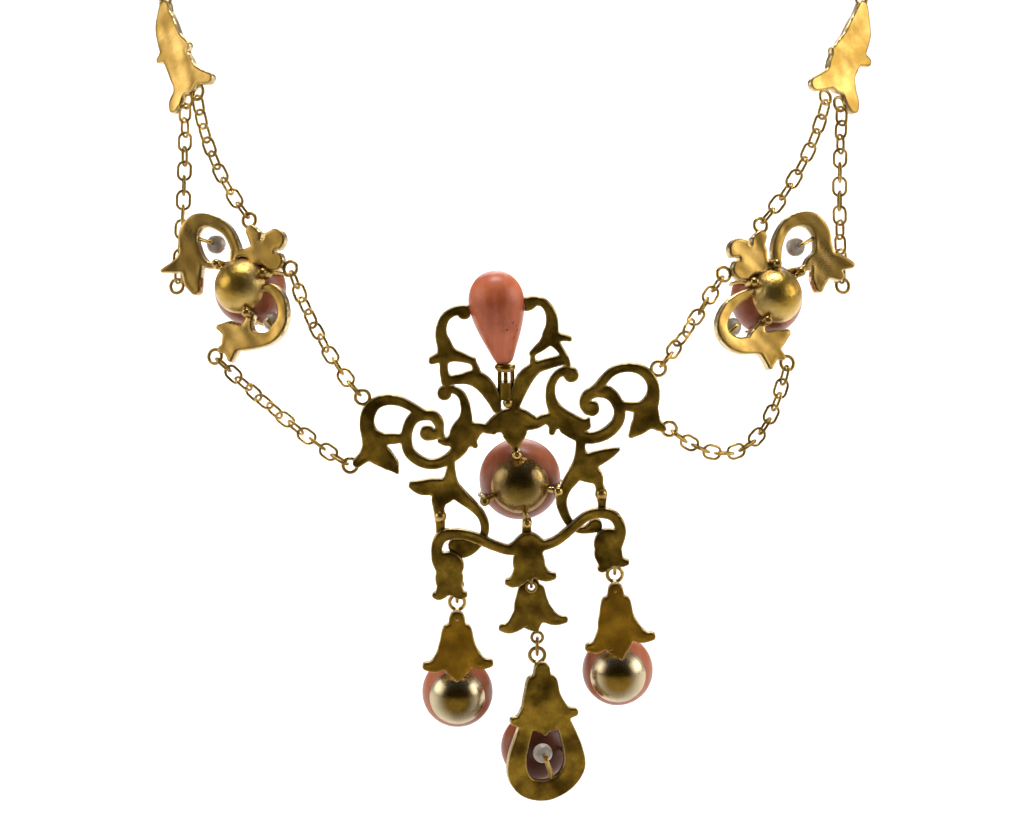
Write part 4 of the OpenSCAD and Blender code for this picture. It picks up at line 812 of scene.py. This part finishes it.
# %% Centre piece
CENTRE_BEAD_R = 5.15
CENTRE_CUP_R = 3.6
CENTRE_CUP = np.array([1.0, 0.6, -9.85])
BUD_FOOT = (-0.95, 0.9, 5.75)
BUD_LEAN = 7.3
centre_bead_y = CENTRE_CUP[1] + np.sqrt(CENTRE_BEAD_R**2 - CENTRE_CUP_R**2)
bud_rows = smooth_rows([[0, 0.8], [0.4, 1.15], [2, 1.85], [4, 2.65], [6, 3.25], [8, 3.5], [9.6, 3.15],
                        [10.8, 2.35], [11.5, 1.3], [11.8, 0.0]])
lean = np.radians(BUD_LEAN)
bud_room = [[[BUD_FOOT[0] - h * np.sin(lean), BUD_FOOT[2] + h * np.cos(lean), 2 * r]
             for h, r in bud_rows[8:-4:4]]]
centre = [plate_sheet(CENTRE_STROKES, bud_room), plate_sheet(YOKE_STROKES, back=-0.9, thick=1.25),
          cup_shell(CENTRE_CUP_R, 2.0, CENTRE_BEAD_R, CENTRE_CUP)]
for angle, out in ((95, 4.2), (202, 4.75), (-6, 4.8), (-79, 4.7)):
    centre += claw_shells(angle, out, CENTRE_CUP_R, CENTRE_CUP[1], CENTRE_BEAD_R, centre_bead_y,
                          CENTRE_CUP * [1, 0, 1])
centre += [ball([x, 0.3, z], 0.8, finish=CLAW) for x, z in ((-9, -13.8), (11.2, -10.9))]
centre += [wire([[-0.8 + x, 0.7, 1], [-0.8 + x, 0.7, 3], [-0.8 + x, 0.7, 5.1]], 0.27, (0, 1, 0), finish=0)
           for x in (-0.75, 0, 0.85)]
centre += [ball([-0.5, 0.2, 0.8], 0.65, finish=CLAW),
           lathe([[1.2, 0], [1.2, 0.95], [2.3, 0.9], [3.4, 0.95], [3.4, 0]], [-0.8, 0.7, 0], "z", 28),
           lathe([[4.8, 0], [4.8, 1.05], [5.2, 1.33], [5.35, 1.3], [5.42, 1.2], [5.5, 1.28], [5.65, 1.2],
                  [5.65, 0]], [-0.85, 0.7, 0], "z", 36, finish=CLAW)]
centre += [chain_eye(x, z) for x, z in ((-18.7, 1.45), (-20.3, -7.3), (18.3, 5.1), (19.7, -2.6))]
centre += lug_shells(LEFT_PIVOT, -22.5) + lug_shells(RIGHT_PIVOT, -18.6) + lug_shells(MID_PIVOT, -20)
# Finishes of sheets, cups and claws
# The dark and brown lists give their pieces gold colours darkened as painted shade
DARK = ["gold_filed_dark_painted_shade", "dented_gold_painted_shade", "gold_burnished"]
BROWN = ["gold_filed_brown_painted_shade", "pressed_gold_painted_shade", "gold_burnished"]
WARM = ["gold_filed_warm", "gold_beaten", "gold_burnished"]
piece("centre_gold", centre, CENTRE, "necklace", ["centre_frame"], DARK)
bead = ball([CENTRE_CUP[0], centre_bead_y, CENTRE_CUP[2]], CENTRE_BEAD_R, 96)
piece("centre_bead", [bead], CENTRE, "necklace", ["centre_coral"], ["coral_turned_painted_shade"])

# %% [markdown]
# The bud is a long drop of coral with its narrow end in the collar. A ball could be pulled long, but a lathe
# profile follows the real outline, and the same profile cuts back the hooks beside it.

# %% Coral bud above the centre
bud = lathe(np.vstack([[[0, 0]], bud_rows]), [0, 0, 0], "z", 72)
piece("crest_bud", placed([bud], BUD_FOOT, roll=-BUD_LEAN), CENTRE, "necklace", ["crest_coral"],
      ["coral_cut_pale"])

# %% [markdown]
# ## Side stations
#
# Each station is one sheet with a flower, a clover leaf and a scroll, and a deep cup whose bead shows past
# its side. Two pearls sit before the openings on bent pegs. One station could be mirrored, but the real ones
# differ, so each has its own table and they share a function.

# %% Stations with their beads and pearls
SIDE_BEAD_R = 4.6
SIDE_CUP_R, SIDE_CUP_Y = 3.5, 0.3
side_bead_y = SIDE_CUP_Y + np.sqrt(SIDE_BEAD_R**2 - SIDE_CUP_R**2)
PEARL_R = 1.25
STATION_BOW = -0.005
OUTER_EYE_Y = 3.3


def station(side, seat_at, strokes, slits, claws, eyes, outer, post, pegs):
    """One station: its gold, its bead and its pearls, each in place of its own CAD node."""
    sheet = plate_sheet(strokes, slits, bow=STATION_BOW)
    gold = hollowed([sheet], (0, side_bead_y, 0), SIDE_BEAD_R + BEAD_GAP)
    gold += [cup_shell(SIDE_CUP_R, 2.8, SIDE_BEAD_R, [0, SIDE_CUP_Y, 0]), chain_eye(*outer, y=OUTER_EYE_Y)]
    for angle, out in claws:
        gold += claw_shells(angle, out, SIDE_CUP_R, SIDE_CUP_Y, SIDE_BEAD_R, side_bead_y, [0, 0, 0])
    gold += [chain_eye(*eye) for eye in eyes]
    (foot_x, foot_z), (top_x, top_z) = post
    gold.append(wire([[foot_x, 0.3, foot_z], [(foot_x + top_x) / 2, 2, (foot_z + top_z) / 2],
                      [top_x, OUTER_EYE_Y, top_z]], 0.35))
    gold += [peg_shell(foot, pearl) for foot, pearl in pegs]
    piece(f"station_{side}_gold", gold, seat_at, "necklace", [f"station_{side}"], WARM)
    piece(f"station_{side}_bead", [ball([0, side_bead_y, 0], SIDE_BEAD_R, 80)], seat_at, "necklace",
          [f"station_{side}_coral"], ["coral_turned_painted_shade"])
    for level, (foot, pearl) in zip(("upper", "lower"), pegs):
        piece(f"station_{side}_{level}_bead", [ball(pearl, PEARL_R, 40)], seat_at, "necklace",
              [f"station_{side}_{level}_pearl"], ["pearl_grown"])


station("left", STATION_L, STATION_LEFT_STROKES, STATION_LEFT_SLITS, ((143, 4.1), (28, 3.9), (-60, 3.9)),
        ((-0.1, 8.5), (6.65, 2.8), (-2.3, -9.2)), (-10.6, -0.4), ((-8.4, 1.3), (-9.9, 0.2)),
        (((-6.9, 5.6), (-4.9, 1.7, 5.2)), ((5.9, -5.2), (4.6, 1.7, -4))))
station("right", STATION_R, STATION_RIGHT_STROKES, STATION_RIGHT_SLITS,
        ((38, 4.3), (88, 3.9), (152, 3.9), (-126, 3.9)),
        ((-0.8, 9.1), (-6.95, 3.3), (0.3, -8.7)), (11.2, 0.8), ((8.8, 2.2), (10.4, 1.4)),
        (((6.6, 7), (4.3, 1.7, 6.1)), ((-8, -4.6), (-6.3, 1.7, -3.4))))

# %% [markdown]
# ## Upper plates
#
# A double bell each, thinner than the rest, where the festoon chains meet the neck chain. The CAD plates
# could stay, but beside the stations their hard rims show, so they are sheets too.

# %% Upper plates
LEFT_EYES = ((2.8, -5), (4.5, -3.7), (-6.7, 7.1))
RIGHT_EYES = ((-4.9, -4.3), (-2.7, -5.4), (5.6, 7.7))
for side, seat_at, strokes, eyes in (("left", PLATE_L, PLATE_LEFT_STROKES, LEFT_EYES),
                                     ("right", PLATE_R, PLATE_RIGHT_STROKES, RIGHT_EYES)):
    plate = [plate_sheet(strokes, thick=0.9)] + [chain_eye(*eye) for eye in eyes]
    piece(f"plate_{side}_gold", plate, seat_at, "necklace", [f"plate_{side}"], WARM)

# %% [markdown]
# ## Drops
#
# Each side drop is a bell cap with an eye on top and a polished cup below. The middle drop hangs on a flat
# bell link and has an open pear frame with a pearl before its bead. They could be drawn where they hang, but
# each swings about its eye, so it is drawn from the eye down and rides on its own body.

# %% Side drops
DROP_BEAD_R = 4.5
DROP_CUP_R, DROP_CUP_Y = 3.5, 1.5
drop_bead_y = DROP_CUP_Y + np.sqrt(DROP_BEAD_R**2 - DROP_CUP_R**2)


def eye_and_stem(hang):
    """The drop's eye, and the stem that goes back from it to the cap."""
    return [ring([0, 0, 0], 0.95, 0.5),
            wire([[0, 0, -0.95], [0, -0.4 * hang, -1.1], [0, 0.25 - hang, -1.5]], 0.35, facing=(1, 0, 0))]


for side, pivot, cap, roll, cup_z in (("left", LEFT_PIVOT, LEFT_CAP, 0, -12.1),
                                      ("right", RIGHT_PIVOT, RIGHT_CAP, -2, -12.9)):
    from_eye = pivot - [0, 0, EYE_FALL]
    body_shells = hollowed([plate_sheet(cap)], (0, drop_bead_y, cup_z), DROP_BEAD_R + BEAD_GAP)
    body_shells.append(cup_shell(DROP_CUP_R, 2.2, DROP_BEAD_R, [0, DROP_CUP_Y, cup_z]))
    hung = placed(body_shells, [0, -HANG, 0], roll=roll) + eye_and_stem(HANG)
    piece(f"drop_{side}_gold", placed(hung, from_eye), CENTRE, f"{side}_drop", [f"drop_{side}"],
          BROWN)
    bead = placed([ball([0, drop_bead_y - HANG, cup_z], DROP_BEAD_R, 80)], from_eye, roll=roll)
    piece(f"drop_{side}_bead", bead, CENTRE, f"{side}_drop", [f"drop_{side}_coral"],
          ["coral_turned_painted_shade"])

# %% [markdown]
# The bell link is one flat flower, a third thinner than the caps, with a ring let in at its neck and an eye
# below. It could be part of the drop, but it swings by itself, so it is a piece of its own.

# %% Bell link
LINK_HOLE = [[[0, -1.2, 0.95], [0.01, -1.2, 0.95]]]
link = [plate_sheet(LINK_BELL, LINK_HOLE, back=-0.4, thick=0.8, relief=0.15, round_by=0.15),
        ring([0, -0.4, -1.2], 0.62, 0.34), ring([0.75, 0, -7.85], 0.7, 0.4)]
piece("bell_link_gold", placed(link, MID_PIVOT), CENTRE, "bell_link", ["mid_bell"], DARK)

# %% [markdown]
# The middle drop hangs turned by 12 degrees, and its bead is a button whose back is dark brown: painted shade
# for the frame's shadow on it. A squashed
# ball could stand for it, but a profile of radius times sin(a)^0.8 gives the button's fuller rim.

# %% Middle drop: frame, button bead and pearl
MID_TURN = 12
BUTTON_SIDES = 80
mid_eye = MID_DROP_PIVOT - [0, 0, EYE_FALL]
pearl_peg = wire([[1.2, 0.6, -16.2], [1.1, 0.2, -15], [0.7, 0.0, -13.9], [0.5, 0.0, -13.2],
                  [0.5, 0.6, -13.0], [0.5, 1.3, -13.0]], 0.32, facing=(1, 0.2, 0.1))
frame_shells = [plate_sheet(MID_CAP), pearl_peg, wire([[-3, 1, -13], [-2.5, 3.6, -13]], 0.4),
                wire([[4, 1, -13], [3.5, 3.55, -13]], 0.4)]
mid = placed(placed(frame_shells, [0, -MID_HANG, 0.3]), [0, 0, 0], MID_TURN) + eye_and_stem(MID_HANG)
piece("mid_drop_gold", placed(mid, mid_eye), CENTRE, "middle_drop", ["mid_drop"], DARK)

a = np.linspace(0, np.pi, 40)
button = lathe(np.stack([3.2 * (1 - np.cos(a)), DROP_BEAD_R * np.sin(a)**0.8], 1),
               [0.6, 3.6 - MID_HANG, -13.1], "y", BUTTON_SIDES)
# Painted shade on the button's back, where the frame's shadow falls
button["edge"] = np.repeat(np.clip((1.1 - a) / 0.3, 0, 0.85), BUTTON_SIDES)
piece("mid_drop_bead", placed([button], mid_eye, MID_TURN), CENTRE, "middle_drop", ["mid_drop_coral"],
      ["coral_turned_painted_shade"])
small = ball([0.5, 0.9 + PEARL_R - MID_HANG, -12.7], PEARL_R, 40)
piece("mid_drop_pearl_bead", placed([small], mid_eye, MID_TURN), CENTRE, "middle_drop", ["mid_drop_pearl"],
      ["pearl_grown"])

# %% [markdown]
# ## Chains, jump rings and clasp
#
# The cable links and rings are drawn wire, bent through each other and soldered shut. They could be swept
# again, but in the CAD they already are exact rounds of wire, so they stay and only get their finish.

# %% Finish of the kept CAD nodes
for name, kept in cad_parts.items():
    if "chain" in name or name.startswith("ring") or name == "clasp":
        for place in kept.material_slots:
            place.material = FINISHES["gold_drawn"]
        print(name, "keeps its solid:", len(kept.data.polygons), "triangles")

# %% [markdown]
# ## Floor, light and camera
#
# The necklace hangs over a wide pale floor, which fills the view because the camera looks down. A curved
# backdrop could do that too, but a plain square, far larger than the view, has no bend for gold to mirror.

# %% Floor
floor_mesh = bpy.data.meshes.new("floor")
FLOOR_REACH, FLOOR_DROP = 4.0, 0.006
corners = [(x * FLOOR_REACH, y * FLOOR_REACH, cad_low.z - FLOOR_DROP)
           for x, y in ((-1, -1), (1, -1), (1, 1), (-1, 1))]
floor_mesh.from_pydata(corners, [], [(0, 1, 2, 3)])
floor = bpy.data.objects.new("floor", floor_mesh)
bpy.context.scene.collection.objects.link(floor)
# Board, painted a matt white: an even ground without lights in it
tree, shader, spot = new_finish("board_painted_white")
feed(tree, shader, {"Base Color": colour("#f2f1ef"), "Roughness": 0.9})
floor_mesh.materials.append(FINISHES["board_painted_white"])
print("floor at", round(corners[0][2], 4), "m")

# %% [markdown]
# A sun could light it all, but metal shows what it mirrors, so the lights are large soft panels. One hangs
# over the floor behind the necklace, with a grid that keeps its light off the flat backs. Two stand left and
# right: the stations and plates, which turn towards them, go bright and yellow. The centre mirrors the dim
# space at the camera and looks dark. One more lights the decorated side.

# %% Lights
def panel(name, at, towards, wide, high, watts, spread):
    """A soft rectangular light at a point, turned to face another; a grid narrows its spread in degrees."""
    lamp = bpy.data.lights.new(name, "AREA")
    lamp.shape, lamp.size, lamp.size_y = "RECTANGLE", wide, high
    lamp.energy, lamp.spread = watts, np.radians(spread)
    made = bpy.data.objects.new(name, lamp)
    made.location = at
    made.rotation_euler = (made.location - Vector(towards)).to_track_quat("Z", "Y").to_euler()
    bpy.context.scene.collection.objects.link(made)


target = (0.0, -0.06, -0.042)
panel("left_panel", (-1.0, -0.16, 0.32), target, 1.1, 0.7, 1.15, 70)
panel("right_panel", (1.0, -0.16, 0.32), target, 1.1, 0.7, 1.6, 70)
panel("floor_panel", (0.0, 0.42, 0.75), (0.0, 0.42, -0.1), 1.1, 1.0, 5.4, 50)
panel("far_panel", (0.0, 1.1, 0.55), target, 1.2, 0.8, 1.6, 60)
world = bpy.data.worlds.new("studio")
world.use_nodes = True
feed(world.node_tree, world.node_tree.nodes["Background"], {"Color": colour("#c8cace"), "Strength": 0.12})
bpy.context.scene.world = world
print("lights:", [lamp.name for lamp in bpy.data.lights])

# %% [markdown]
# The photo looks 12 degrees down through a long lens. The camera could be placed by eye. Here it stands at a
# distance and an angle from one point of the necklace, so each can be changed alone.

# %% Camera at the photo's angle
CAMERA_FAR, ELEVATION = 0.600, np.radians(12)
camera = bpy.data.objects.new("camera", bpy.data.cameras.new("camera"))
camera.location = np.array(target) + CAMERA_FAR * np.array([0, -np.cos(ELEVATION), np.sin(ELEVATION)])
camera.rotation_euler = (np.pi / 2 - ELEVATION, 0, 0)
camera.data.lens = 168.75
camera.data.sensor_width = 36
camera.data.clip_start, camera.data.clip_end = 0.02, 20
bpy.context.scene.collection.objects.link(camera)
bpy.context.scene.camera = camera
bpy.context.scene.view_settings.view_transform = "Standard"
print("camera at", tuple(round(v, 3) for v in camera.location))
